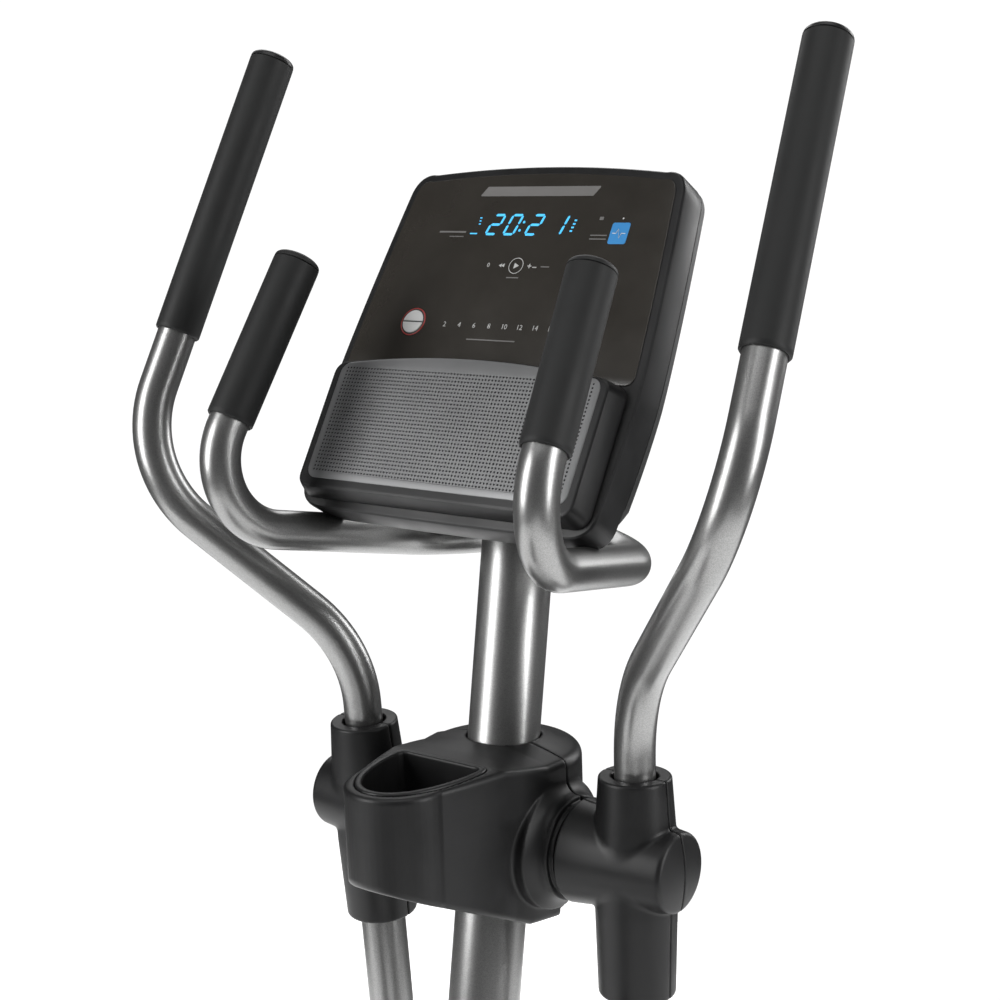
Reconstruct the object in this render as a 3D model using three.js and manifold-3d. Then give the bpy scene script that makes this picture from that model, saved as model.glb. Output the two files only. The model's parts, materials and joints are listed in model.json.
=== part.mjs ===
// Elliptical trainer with a rear crank, in millimetres.
// +X is the user's right, +Y is forwards (the user faces it), +Z is up, and the floor is z = 0.
import * as THREE from "three";
import { mergeVertices } from "three/addons/utils/BufferGeometryUtils.js";
import Module from "manifold-3d";

// ---- Driving dimensions ----
const CLEARANCE = 0.3;                   // gap between pieces that touch
const PIVOT = { y: 412.5, z: 1000 };       // axle that both moving handlebars swing on
const MAST_LEAN = 0.18;                  // the mast moves forwards this much for each unit of height
const MAST_RADIUS = 32;
const MAST_WALL = 2.5;
const MAST_TOP = 350;                    // above the pivot
const RIGHT_ARM_TILT = -1.1;             // degrees about +X at rest, top away from the user
const LEFT_ARM_TILT = 3.7;
const COVER_X = 148;                     // plane of each leg tube and pivot cover
const LEG_LENGTH = 700;                  // pivot axle to the pin at the foot of the leg
const LEG_RADIUS = 21;
const BAR_RADIUS = 17.5;                 // both kinds of handlebar
const PLUG_RADIUS = 12;                  // what fits inside a handlebar's end
const GRIP_RADIUS = 20.5;
const PIN_RADIUS = 10;                   // pivot axle, crank axle and pedal arm pins
const CRANK = { y: -485.5, z: 335 };
const CRANK_RADIUS = 170;
const CRANK_ANGLE = 97.7;                // degrees from +Y towards +Z, right crank arm
const CRANK_INNER = 66;                  // the crank arms lie between these two planes
const CRANK_OUTER = 82;
const FLYWHEEL = { y: -230.5, z: 256 };
const FLYWHEEL_RADIUS = 115;
const HOUSING_HALF = 62;
const HOUSING_RADIUS = 200;              // around the crank
const RAIL = { width: 60, low: 66.4, high: 116.4, front: 627.5, back: -687.5, wall: 2.5 };
const STABILIZER = { radius: 30, z: 36, frontY: 597.5, backY: -657.5, halfLength: 262 };
const CONSOLE = { y: 100, z: 562, tilt: 58.2, depth: 42 };
const CONSOLE_HALF = { top: 147, waist: 163, foot: 158 };
const CONSOLE_LOW = -320;                // foot of the console, down the face from its top line
const CONSOLE_HIGH = 16;

const wasm = await Module();
wasm.setup();

// ---- Helpers ----
const radians = THREE.MathUtils.degToRad;

function solid(geometry) {
  let plain = geometry.index ? geometry.clone() : geometry;
  plain.deleteAttribute("normal");
  plain.deleteAttribute("uv");
  plain = mergeVertices(plain, 1e-4);
  const mesh = new wasm.Mesh({
    numProp: 3,
    vertProperties: new Float32Array(plain.attributes.position.array),
    triVerts: new Uint32Array(plain.index.array),
  });
  return new wasm.Manifold(mesh);
}

function geometryOf(manifold) {
  const mesh = manifold.getMesh();
  const geometry = new THREE.BufferGeometry();
  geometry.setAttribute("position", new THREE.BufferAttribute(mesh.vertProperties, 3));
  geometry.setIndex(new THREE.BufferAttribute(mesh.triVerts, 1));
  return geometry;
}

const join = (...geometries) => geometryOf(geometries.map(solid).reduce((a, b) => a.add(b)));
const common = (a, b) => geometryOf(solid(a).intersect(solid(b)));
const cut = (body, ...tools) => geometryOf(tools.map(solid).reduce((a, b) => a.subtract(b), solid(body)));

function box(x0, x1, y0, y1, z0, z1) {
  const block = new THREE.BoxGeometry(x1 - x0, y1 - y0, z1 - z0);
  return block.translate((x0 + x1) / 2, (y0 + y1) / 2, (z0 + z1) / 2);
}

// A turned solid about +X. Each profile point is [x, radius], from one end to the other.
function turnedX(profile, segments = 16) {
  const points = profile.map(([x, r]) => new THREE.Vector2(r, x));
  if (profile[0][1] > 0) points.push(points[0].clone());
  const lathe = new THREE.LatheGeometry(points, segments);
  lathe.rotateZ(-Math.PI / 2);
  return outward(lathe);
}

// A turned solid about +Z. Each profile point is [z, radius].
function turnedZ(profile, segments = 16) {
  return turnedX(profile, segments).rotateY(-Math.PI / 2);
}

// Turns a closed surface's faces outwards.
function outward(geometry) {
  const position = geometry.attributes.position;
  const index = geometry.index.array;
  const [a, b, c] = [new THREE.Vector3(), new THREE.Vector3(), new THREE.Vector3()];
  let volume = 0;
  for (let i = 0; i < index.length; i += 3) {
    a.fromBufferAttribute(position, index[i]);
    b.fromBufferAttribute(position, index[i + 1]);
    c.fromBufferAttribute(position, index[i + 2]);
    volume += a.dot(b.cross(c));
  }
  if (volume < 0) for (let i = 0; i < index.length; i += 3) [index[i], index[i + 1]] = [index[i + 1],
    index[i]];
  return geometry;
}

const rodX = (x0, x1, radius, segments = 16) =>
  turnedX([[x0, 0], [x0, radius], [x1, radius], [x1, 0]], segments);
const rodZ = (z0, z1, radius, segments = 16) => rodX(z0, z1, radius, segments).rotateY(-Math.PI / 2);
const tubeX = (x0, x1, outer, inner, segments = 16) =>
  turnedX([[x0, inner], [x0, outer], [x1, outer], [x1, inner]], segments);
const tubeZ = (z0, z1, outer, inner, segments = 16) =>
  tubeX(z0, z1, outer, inner, segments).rotateY(-Math.PI / 2);

// An outline in the Y-Z plane, extruded from x0 to x1.
function slabX(shape, x0, x1, curveSegments = 3) {
  const slab = new THREE.ExtrudeGeometry(shape, { depth: x1 - x0, bevelEnabled: false, curveSegments });
  return slab.rotateY(Math.PI / 2).rotateX(Math.PI / 2).translate(x0, 0, 0);
}

// An outline in the X-Z plane, extruded from y0 to y1.
function slabY(shape, y0, y1, curveSegments = 3) {
  const slab = new THREE.ExtrudeGeometry(shape, { depth: y1 - y0, bevelEnabled: false, curveSegments });
  return slab.rotateX(Math.PI / 2).translate(0, y1, 0);
}

// An outline in the X-Y plane, extruded from z0 to z1.
function slabZ(shape, z0, z1, curveSegments = 3) {
  const slab = new THREE.ExtrudeGeometry(shape, { depth: z1 - z0, bevelEnabled: false, curveSegments });
  return slab.translate(0, 0, z0);
}

// A path of straight runs joined by arcs.
class BentPath extends THREE.Curve {
  constructor(corners, bendRadii) {
    super();
    this.path = new THREE.CurvePath();
    let from = corners[0];
    corners.slice(1, -1).forEach((corner, i) => {
      const back = corners[i].clone().sub(corner).normalize();
      const ahead = corners[i + 2].clone().sub(corner).normalize();
      const half = back.angleTo(ahead) / 2;
      const reach = bendRadii[i] / Math.tan(half);
      const start = corner.clone().addScaledVector(back, reach);
      const end = corner.clone().addScaledVector(ahead, reach);
      this.path.add(new THREE.LineCurve3(from, start));
      this.path.add(new ArcThrough(corner, start, end, half, bendRadii[i]));
      from = end;
    });
    this.path.add(new THREE.LineCurve3(from, corners.at(-1)));
  }
  getPoint(t) {
    return this.path.getPoint(t);
  }
}

class ArcThrough extends THREE.Curve {
  constructor(corner, start, end, half, radius) {
    super();
    const middle = start.clone().add(end).multiplyScalar(0.5);
    const inward = middle.sub(corner).normalize();
    this.centre = corner.clone().addScaledVector(inward, radius / Math.sin(half));
    this.from = start.clone().sub(this.centre);
    this.to = end.clone().sub(this.centre);
    this.sweep = this.from.angleTo(this.to);
  }
  getPoint(t) {
    const [a, b] = [Math.sin((1 - t) * this.sweep), Math.sin(t * this.sweep)];
    const spoke = this.from.clone().multiplyScalar(a).addScaledVector(this.to, b);
    return spoke.divideScalar(Math.sin(this.sweep)).add(this.centre);
  }
}

function ringShape(outer, inner) {
  const shape = new THREE.Shape().absarc(0, 0, outer, 0, 2 * Math.PI);
  const hollow = new THREE.Path().absarc(0, 0, inner, 0, 2 * Math.PI, true);
  if (inner > 0) shape.holes.push(new THREE.Path().setFromPoints(hollow.getPoints(3).slice(1)));
  return shape;
}

function bentTube(corners, bendRadii, outer, inner, steps, curveSegments = 4) {
  const extrudePath = new BentPath(corners, bendRadii);
  const tube = new THREE.ExtrudeGeometry(ringShape(outer, inner), { steps, extrudePath, curveSegments });
  return outward(mergeVertices(stripped(tube), 1e-3));
}

function stripped(geometry) {
  geometry.deleteAttribute("normal");
  geometry.deleteAttribute("uv");
  return geometry;
}

// Lays a piece that was turned about +Z along the line from one point to another.
function along(geometry, from, to) {
  const direction = to.clone().sub(from).normalize();
  const turn = new THREE.Quaternion().setFromUnitVectors(new THREE.Vector3(0, 0, 1), direction);
  return geometry.applyQuaternion(turn).translate(from.x, from.y, from.z);
}

const point = (x, y, z) => new THREE.Vector3(x, y, z);

// ---- Materials ----
const paint = (color, roughness, metalness) =>
  new THREE.MeshStandardMaterial({ color, roughness, metalness });
const silver = paint(0x8e8e8c, 0.38, 0.8);
const plastic = paint(0x1d1d1e, 0.5, 0);
const foam = paint(0x161616, 0.85, 0);
const glossPanel = paint(0x2a2723, 0.2, 0);
const grey = paint(0x7d7e7e, 0.5, 0.3);
const steel = paint(0xa9abad, 0.35, 1);
const iron = paint(0x4b4d50, 0.55, 0.9);
const blackPaint = paint(0x202122, 0.45, 0.3);
const rubber = paint(0x101010, 0.8, 0);
const board = paint(0x1f5a3a, 0.5, 0);
const buttonWhite = paint(0xd8d8d6, 0.35, 0);
const lead = paint(0x151515, 0.6, 0);

const machine = new THREE.Group();

function add(parent, name, geometry, material) {
  const mesh = new THREE.Mesh(geometry, material);
  mesh.name = name;
  parent.add(mesh);
  return mesh;
}

const SIDES = [["right", 1], ["left", -1]];

// ---- Base: stabilizers, end caps, levelling feet, transport wheels ----
const WHEEL = { x: 190, radius: 30, width: 22, y: STABILIZER.frontY + 64, z: 38 };

const stabilizerRod = rodX(-STABILIZER.halfLength, STABILIZER.halfLength, STABILIZER.radius, 20);

// Two ears each side of a wheel, with the pin that it turns on.
function wheelFork(x) {
  const ears = [-1, 1].map((end) => {
    const inner = x + end * (WHEEL.width / 2 + 1);
    return box(Math.min(inner, inner + end * 4), Math.max(inner, inner + end * 4), 20, 74, -12, 14);
  });
  return join(...ears, rodX(x - 15, x + 15, 5, 12).translate(0, 64, WHEEL.z - STABILIZER.z));
}

const bore = rodX(-300, 300, STABILIZER.radius - 2.5, 20);
const frontTube = cut(join(stabilizerRod, wheelFork(WHEEL.x), wheelFork(-WHEEL.x)), bore);
add(machine, "front_stabilizer", frontTube, silver).position.set(0, STABILIZER.frontY, STABILIZER.z);

const FOOT = { x: 200, stem: 5, pad: 21 };
const bossLow = 2 + CLEARANCE - STABILIZER.z;   // just above the foot's pad
const footBosses = SIDES.map(([, side]) => rodZ(bossLow, 0, 11, 16).translate(side * FOOT.x, 0, 0));
const footHoles = SIDES.map(([, side]) =>
  rodZ(-40, 24, FOOT.stem + CLEARANCE, 16).translate(side * FOOT.x, 0, 0));
const rearTube = cut(join(stabilizerRod, ...footBosses), bore, ...footHoles);
add(machine, "rear_stabilizer", rearTube, silver).position.set(0, STABILIZER.backY, STABILIZER.z);

// A cup over the end of a stabilizer, with a flat foot.
function stabilizerCap(side, low) {
  const top = 34;
  const shape = new THREE.Shape();
  shape.moveTo(-26, low);
  shape.lineTo(26, low);
  shape.quadraticCurveTo(top, low, top, low + 12);
  shape.lineTo(top, 4);
  shape.absarc(0, 4, top, 0, Math.PI);
  shape.lineTo(-top, low + 12);
  shape.quadraticCurveTo(-top, low, -26, low);
  const outer = slabX(shape, 0, 56, 6);
  const socket = rodX(-1, 44, STABILIZER.radius + 2 * CLEARANCE, 20);
  const cap = cut(outer, socket).translate(STABILIZER.halfLength - 43, 0, 0);
  return side > 0 ? cap : cap.rotateZ(Math.PI);
}

for (const [name, side] of SIDES) {
  const front = add(machine, `front_cap_${name}`, stabilizerCap(side, -STABILIZER.z), plastic);
  front.position.set(0, STABILIZER.frontY, STABILIZER.z);
  const rear = add(machine, `rear_cap_${name}`, stabilizerCap(side, -STABILIZER.z + 5), plastic);
  rear.position.set(0, STABILIZER.backY, STABILIZER.z);
  const foot = turnedZ([[0, 0], [0, FOOT.pad], [2, FOOT.pad], [2, FOOT.stem], [50, FOOT.stem], [50, 0]],
    16);
  add(machine, `levelling_foot_${name}`, foot, rubber).position.set(side * FOOT.x, STABILIZER.backY, 0);
  const half = WHEEL.width / 2;
  const tread = [[-half, 5.3], [-half, 26], [-half + 4, WHEEL.radius], [half - 4, WHEEL.radius], [half, 26],
    [half, 5.3]];
  add(machine, `transport_wheel_${name}`, turnedX(tread, 20), plastic).position.set(side * WHEEL.x, WHEEL.y,
    WHEEL.z);
}

// ---- Main rail with the mast socket, the crank post and the flywheel fork ----
const mastY = (z) => PIVOT.y + 0.6 + MAST_LEAN * (z - PIVOT.z);
const mastPoint = (z) => point(0, mastY(z), z);
const MAST_FOOT = RAIL.high + 6;
const PULLEY = { x0: -45, x1: -25, radius: 140, small: 26 };

const railHalf = RAIL.width / 2;
const railOuter = box(-railHalf, railHalf, RAIL.back, RAIL.front, RAIL.low, RAIL.high);
const railInner = box(
  -railHalf + RAIL.wall, railHalf - RAIL.wall, RAIL.back - 1, RAIL.front + 1, RAIL.low + RAIL.wall,
    RAIL.high - RAIL.wall);
const stubOuter = along(rodZ(0, 170, MAST_RADIUS - MAST_WALL - 3 * CLEARANCE), mastPoint(RAIL.high - 6),
  mastPoint(600));
const stubInner = along(rodZ(-20, 190, MAST_RADIUS - MAST_WALL - 3.5), mastPoint(RAIL.high - 6),
  mastPoint(600));
const crankPost = box(-8, 32, CRANK.y - 30, CRANK.y + 30, RAIL.high - 1, CRANK.z);
const crankShell = tubeX(-14, 44, 27, PIN_RADIUS + CLEARANCE).translate(0, CRANK.y, CRANK.z);
const crankBore = rodX(-60, 60, PIN_RADIUS + CLEARANCE).translate(0, CRANK.y, CRANK.z);
const forkPlates = [[-57, -52], [38, 43]].map(([x0, x1]) =>
  box(x0, x1, FLYWHEEL.y - 32, FLYWHEEL.y + 32, RAIL.low + 20, FLYWHEEL.z + 24));
const forkFeet = [[-57, -railHalf + 1], [railHalf - 1, 43]].map(([x0, x1]) =>
  box(x0, x1, FLYWHEEL.y - 32, FLYWHEEL.y + 32, RAIL.low + 20, RAIL.low + 26));
const flywheelAxle = rodX(-56, 42, 8, 16).translate(0, FLYWHEEL.y, FLYWHEEL.z);

// The idler presses up on the lower run of the belt, and the magnet arm swings over the flywheel's rim.
const belt = beltOutline();
const IDLER = { radius: 20, t: 0.62 };
const idlerCentre = belt.lower(IDLER.t, IDLER.radius + 3 + 3 * CLEARANCE);
const idlerPin = rodX(-54, -22, 5, 12).translate(0, idlerCentre.y, idlerCentre.z);
const idlerTab = box(-57, -52, idlerCentre.y - 12, FLYWHEEL.y - 30, idlerCentre.z - 12, idlerCentre.z + 12);
const MAGNET_REACH = FLYWHEEL_RADIUS + 25;
const MAGNET = { y: FLYWHEEL.y + MAGNET_REACH * Math.cos(radians(-30)),
  z: FLYWHEEL.z + MAGNET_REACH * Math.sin(radians(-30)) };
const magnetPin = rodX(-18, 42, 5, 12).translate(0, MAGNET.y, MAGNET.z);
const magnetTab = box(38, 43, FLYWHEEL.y + 30, MAGNET.y + 12, MAGNET.z - 12, MAGNET.z + 12);
const MOTOR = { x0: 0, x1: 48, y0: CRANK.y + 40, y1: CRANK.y + 128, z0: 149.3, z1: 196 };
const motorShelf = box(-8, MOTOR.x1 + 2, CRANK.y + 29, MOTOR.y1 + 2, MOTOR.z0 - CLEARANCE - 4,
  MOTOR.z0 - CLEARANCE);
const HARNESS_EXIT = { x: 15, y: MOTOR.y1 + 35 };
const harnessHole = rodZ(RAIL.high - 10, RAIL.high + 10, 7, 12).translate(HARNESS_EXIT.x, HARNESS_EXIT.y,
  0);
const rail = cut(
  join(railOuter, stubOuter, crankPost, crankShell, ...forkPlates, ...forkFeet, flywheelAxle, idlerPin,
    idlerTab,
    magnetPin, magnetTab, motorShelf),
  railInner, stubInner, crankBore, harnessHole);
add(machine, "main_rail", rail, blackPaint);

// The belt's outline round the crank pulley and the flywheel's own small pulley.
function beltOutline() {
  const gap = PULLEY.radius - PULLEY.small;
  const run = Math.hypot(FLYWHEEL.y - CRANK.y, FLYWHEEL.z - CRANK.z);
  const aim = Math.atan2(FLYWHEEL.z - CRANK.z, FLYWHEEL.y - CRANK.y);
  const spread = Math.acos(gap / run);
  const loop = (extra) => {
    const shape = new THREE.Path();
    shape.absarc(CRANK.y, CRANK.z, PULLEY.radius + extra, aim + spread, aim - spread + 2 * Math.PI);
    shape.absarc(FLYWHEEL.y, FLYWHEEL.z, PULLEY.small + extra, aim - spread, aim + spread);
    shape.closePath();
    return shape;
  };
  // A point beside the lower straight run, t of the way along it, and that far outside the pulleys' tangent.
  const lower = (t, out) => {
    const [c, s] = [Math.cos(aim - spread), Math.sin(aim - spread)];
    const big = [CRANK.y + (PULLEY.radius + out) * c, CRANK.z + (PULLEY.radius + out) * s];
    const small = [FLYWHEEL.y + (PULLEY.small + out) * c, FLYWHEEL.z + (PULLEY.small + out) * s];
    return { y: big[0] + (small[0] - big[0]) * t, z: big[1] + (small[1] - big[1]) * t };
  };
  return { loop, lower };
}

// ---- Drive ----
const beltShape = new THREE.Shape(belt.loop(2 * CLEARANCE + 3).getPoints(14));
beltShape.holes.push(belt.loop(2 * CLEARANCE));
add(machine, "drive_belt", slabX(beltShape, -42, -28, 14), rubber);

const pulleyProfile = [[-48, PIN_RADIUS + CLEARANCE], [-48, 24], [-38, 24], [-38, 118], [PULLEY.x0, 118],
  [PULLEY.x0, PULLEY.radius], [PULLEY.x1, PULLEY.radius], [PULLEY.x1, 118], [-32, 118], [-32, 24],
    [-16, 24],
  [-16, PIN_RADIUS + CLEARANCE]];
add(machine, "crank_pulley", turnedX(pulleyProfile, 24), plastic).position.set(0, CRANK.y, CRANK.z);
add(machine, "crank_axle", rodX(-CRANK_OUTER + 1, CRANK_OUTER - 1, PIN_RADIUS), steel).position.set(0,
  CRANK.y, CRANK.z);

function crankArm(side) {
  const shape = new THREE.Shape();
  const lean = Math.asin((25 - 19) / CRANK_RADIUS);
  shape.absarc(0, 0, 25, Math.PI / 2 - lean, 1.5 * Math.PI + lean);
  shape.absarc(CRANK_RADIUS, 0, 19, -Math.PI / 2 + lean, Math.PI / 2 - lean);
  shape.closePath();
  shape.holes.push(new THREE.Path().absarc(0, 0, PIN_RADIUS + CLEARANCE, 0, 2 * Math.PI, true));
  shape.holes.push(new THREE.Path().absarc(CRANK_RADIUS, 0, 9, 0, 2 * Math.PI, true));
  return side > 0 ? slabX(shape, CRANK_INNER, CRANK_OUTER, 8) : slabX(shape, -CRANK_OUTER, -CRANK_INNER, 8);
}

for (const [name, side] of SIDES) {
  const arm = add(machine, `crank_arm_${name}`, crankArm(side), blackPaint);
  arm.position.set(0, CRANK.y, CRANK.z);
  arm.rotation.x = radians(CRANK_ANGLE) + (side > 0 ? 0 : Math.PI);
}

const wheelProfile = [[-50, 8.5], [-50, 14], [PULLEY.x0, 14], [PULLEY.x0, PULLEY.small],
  [PULLEY.x1, PULLEY.small],
  [PULLEY.x1, 20], [4, 20], [4, 88], [-6, 92], [-6, FLYWHEEL_RADIUS], [24, FLYWHEEL_RADIUS], [24, 92],
    [14, 88],
  [14, 20], [34, 20], [34, 8.5]];
add(machine, "flywheel", turnedX(wheelProfile, 20), iron).position.set(0, FLYWHEEL.y, FLYWHEEL.z);

const idlerProfile = [[-43, 5.3], [-43, IDLER.radius], [-27, IDLER.radius], [-27, 5.3]];
add(machine, "idler_pulley", turnedX(idlerProfile, 20), plastic).position.set(0, idlerCentre.y,
  idlerCentre.z);

// A U-shaped arm that carries the magnets each side of the flywheel's rim.
function magnetArc(inner, outer, x0, x1) {
  const shape = new THREE.Shape();
  const centre = [FLYWHEEL.y - MAGNET.y, FLYWHEEL.z - MAGNET.z];
  const [start, end] = [radians(-34), radians(40)];
  shape.absarc(...centre, outer, start, end);
  shape.absarc(...centre, inner, end, start, true);
  shape.closePath();
  return slabX(shape, x0, x1, 4);
}

const magnetArm = cut(
  join(magnetArc(FLYWHEEL_RADIUS - 24, MAGNET_REACH, -16, -10.5),
    magnetArc(FLYWHEEL_RADIUS - 24, MAGNET_REACH, 28.5, 34),
    magnetArc(FLYWHEEL_RADIUS + 5, MAGNET_REACH, -11, 29), tubeX(-16, 34, 12, 5.3)),
  rodX(-30, 60, 5.3, 20));
add(machine, "magnet_bracket", magnetArm, blackPaint).position.set(0, MAGNET.y, MAGNET.z);

const motorCase = box(MOTOR.x0, MOTOR.x1, MOTOR.y0, MOTOR.y1, MOTOR.z0, MOTOR.z1);
const motorSpool = rodX(MOTOR.x0 - 9, MOTOR.x0 + 1, 14, 20).translate(0, MOTOR.y1 - 25,
  (MOTOR.z0 + MOTOR.z1) / 2);
add(machine, "resistance_motor", join(motorCase, motorSpool), plastic);

// ---- Housing round the drive, two shells that meet on the middle plane ----
const NOSE = { y: FLYWHEEL.y + 25, z: FLYWHEEL.z + 20, radius: 155 };
const SHELL = 3;
const INLET = { x: 30, radius: 6, z: CRANK.z };

function housingOutline(inset) {
  const run = Math.hypot(NOSE.y - CRANK.y, NOSE.z - CRANK.z);
  const aim = Math.atan2(NOSE.z - CRANK.z, NOSE.y - CRANK.y);
  const spread = Math.acos((HOUSING_RADIUS - NOSE.radius) / run);
  const shape = new THREE.Shape();
  shape.absarc(CRANK.y, CRANK.z, HOUSING_RADIUS - inset, aim + spread, aim - spread + 2 * Math.PI);
  shape.absarc(NOSE.y, NOSE.z, NOSE.radius - inset, aim - spread, aim + spread);
  shape.closePath();
  return shape;
}

for (const [name, side] of SIDES) {
  const x = (a, b) => (side > 0 ? [a, b] : [-b, -a]);
  const gap = CLEARANCE / 2;
  const outer = slabX(housingOutline(0), ...x(gap, HOUSING_HALF - 6), 7);
  const rounded = slabX(housingOutline(6), ...x(gap, HOUSING_HALF), 7);
  const inner = slabX(housingOutline(9), ...x(-1, HOUSING_HALF - SHELL), 7);
  const rimInner = slabX(housingOutline(SHELL), ...x(-1, HOUSING_HALF - 6 - SHELL), 7);
  const axleHole = rodX(...x(20, HOUSING_HALF + 5), 15).translate(0, CRANK.y, CRANK.z);
  const floorSlot = box(-HOUSING_HALF + SHELL, HOUSING_HALF - SHELL, CRANK.y - 34, FLYWHEEL.y + 40, 100,
    150);
  const tools = [inner, rimInner, axleHole, floorSlot];
  if (side > 0) {
    const hole = rodX(-20, 20, INLET.radius + CLEARANCE, 16).rotateZ(Math.PI / 2);
    tools.push(hole.translate(INLET.x, CRANK.y - HOUSING_RADIUS, INLET.z));
  }
  add(machine, `${name}_housing`, cut(join(outer, rounded), ...tools), plastic);
}

const inletProfile = [[-1.8, 3], [-1.8, 9], [-0.4, 9], [-0.4, INLET.radius], [20, INLET.radius], [20, 0],
  [4, 0], [4, 3]];
const inlet = turnedX([[4, 0], [4, 3], ...inletProfile.slice(0, 6)], 16).rotateZ(Math.PI / 2);
add(machine, "power_inlet", inlet, blackPaint).position.set(INLET.x, CRANK.y - HOUSING_RADIUS, INLET.z);

// ---- Mast with the cross tube for the pivot axle ----
const pivot = new THREE.Group();
pivot.position.set(0, PIVOT.y, PIVOT.z);
machine.add(pivot);

const leanPoint = (z) => point(0, 0.6 + MAST_LEAN * z, z);     // on the mast's centre line, from the pivot
const mastFoot = leanPoint(MAST_FOOT - PIVOT.z);
const mastHead = leanPoint(MAST_TOP);
const mastLength = mastHead.distanceTo(mastFoot);
const mastOuter = along(rodZ(0, mastLength, MAST_RADIUS, 24), mastFoot, mastHead);
const mastInner = along(rodZ(-5, mastLength + 5, MAST_RADIUS - MAST_WALL, 20), mastFoot, mastHead);
const CROSS = { half: 88, radius: 19 };
const crossTube = rodX(-CROSS.half, CROSS.half, CROSS.radius, 20);
const crossBore = rodX(-CROSS.half - 5, CROSS.half + 5, PIN_RADIUS + CLEARANCE, 16);
add(pivot, "mast", cut(join(cut(mastOuter, mastInner), crossTube), crossBore), silver);

const AXLE_END = 183;
const axle = turnedX([[-AXLE_END, 0], [-AXLE_END, 18], [-AXLE_END + 3.5, 18], [-AXLE_END + 3.5, PIN_RADIUS],
  [AXLE_END - 3.5, PIN_RADIUS], [AXLE_END - 3.5, 18], [AXLE_END, 18], [AXLE_END, 0]], 16);
add(pivot, "pivot_axle", axle, steel);

// ---- Mast cover: a rear shell that holds the cup, and a front shell ----
const COVER = {
  seam: 8, top: 83.6, crown: 86, edge: 74, shoulder: 74, waist: 63, noseY: -128, noseRadius: 46, stub: 46,
    stubEnd: 88,
};
const COVER_LOW = { seam: -71, bend: -66.5, bendY: -30, nose: 5, tipY: -174 };
const CUP = { flatY: -72, half: 44.5, tipY: -163.5, depth: 78, wall: 2.2 };

function coverPlan(inset) {
  const shape = new THREE.Shape();
  const half = COVER.shoulder - inset;
  const radius = COVER.noseRadius - inset;
  shape.moveTo(half, COVER.seam);
  shape.bezierCurveTo(half - 2, -40, 56 - inset, -95, radius, COVER.noseY);
  shape.absarc(0, COVER.noseY, radius, 0, -Math.PI, true);
  shape.bezierCurveTo(-56 + inset, -95, -half + 2, -40, -half, COVER.seam);
  shape.closePath();
  return shape;
}

// The side view of the cover: its floor rises towards the user.
function coverSide(inset) {
  const shape = new THREE.Shape();
  shape.moveTo(COVER.seam + 1, COVER_LOW.seam + inset);
  shape.lineTo(COVER_LOW.bendY, COVER_LOW.bend + inset);
  shape.lineTo(COVER_LOW.tipY, COVER_LOW.nose + inset);
  shape.lineTo(COVER_LOW.tipY, COVER.top - inset);
  shape.lineTo(-45, COVER.top - inset);
  shape.lineTo(COVER.seam + 1, COVER.crown - inset);
  shape.closePath();
  return shape;
}

// The front view of the cover: a crowned top, and sides that draw in towards the floor.
function coverFront(inset) {
  const [half, waist] = [COVER.shoulder - inset, COVER.waist - inset];
  const [low, edge, crown] = [COVER_LOW.seam - 10, COVER.edge - inset, COVER.crown - inset];
  const right = [[waist, low], [half, 40], [half, edge], [56, edge + 5.5], [36, edge + 10], [18, crown]];
  const left = right.map(([x, z]) => [-x, z]).reverse();
  return new THREE.Shape([...right, ...left].map(([x, z]) => new THREE.Vector2(x, z)));
}

// A D with its flat side towards the mast.
function cupPlan(inset) {
  const shape = new THREE.Shape();
  const half = CUP.half - inset;
  const flat = CUP.flatY - inset;
  const tip = CUP.tipY + inset;
  shape.moveTo(half, flat);
  shape.bezierCurveTo(half, flat - 46, half - 11.5, tip, 0, tip);
  shape.bezierCurveTo(-half + 11.5, tip, -half, flat - 46, -half, flat);
  shape.closePath();
  return shape;
}

const mastHole = along(rodZ(-300, 300, MAST_RADIUS + 1, 24), leanPoint(0), mastHead);
const stubBore = rodX(-200, 200, CROSS.radius + 12, 20);
const stub = rodX(-COVER.stubEnd, COVER.stubEnd, COVER.stub, 24);
const rearSide = box(-200, 200, -300, COVER.seam - CLEARANCE / 2, -200, 200);
const frontSide = box(-200, 200, COVER.seam + CLEARANCE / 2, 300, -200, 200);
const coverBlock = (inset) => common(
  common(slabZ(coverPlan(inset), -100, 100, 6), slabX(coverSide(inset), -100, 100)),
  slabY(coverFront(inset), -200, 200));
const [rearBlock, rearHollow] = [coverBlock(0), coverBlock(SHELL)];
const seat = slabZ(cupPlan(-CLEARANCE - CUP.wall), 60, 90, 6);
const rearShell = cut(common(join(rearBlock, stub), rearSide), rearHollow, mastHole, stubBore, seat);
add(pivot, "mast_cover_rear", rearShell, plastic);

const frontProfile = [
  [-74, 0], [-74, 58], [-58, 66], [40, 72], [74, 66], [80, 50], [84, 30], [COVER.crown, 0],
];
const frontBlock = turnedZ(frontProfile, 24).translate(0, COVER.seam, 0);
const frontHollow = turnedZ(frontProfile.map(([z, r]) => [z * 0.95, Math.max(0, r - SHELL)]), 24);
const frontShell = cut(
  common(join(frontBlock, stub), frontSide), frontHollow.translate(0, COVER.seam, 0), mastHole, stubBore);
add(pivot, "mast_cover_front", frontShell, plastic);

const cupTop = COVER.top + 0.6;
const CUP_RIM = 6;
const cupOuter = slabZ(cupPlan(-CUP.wall), cupTop - CUP.depth, COVER.top + 1, 6);
const cupFlange = slabZ(cupPlan(-CUP_RIM), COVER.top + CLEARANCE, COVER.top + 1.6, 6);
const cupInner = slabZ(cupPlan(0), cupTop - CUP.depth + CUP.wall, cupTop + 10, 6);
add(pivot, "cup_liner", cut(join(cupOuter, cupFlange), cupInner), plastic);

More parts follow.
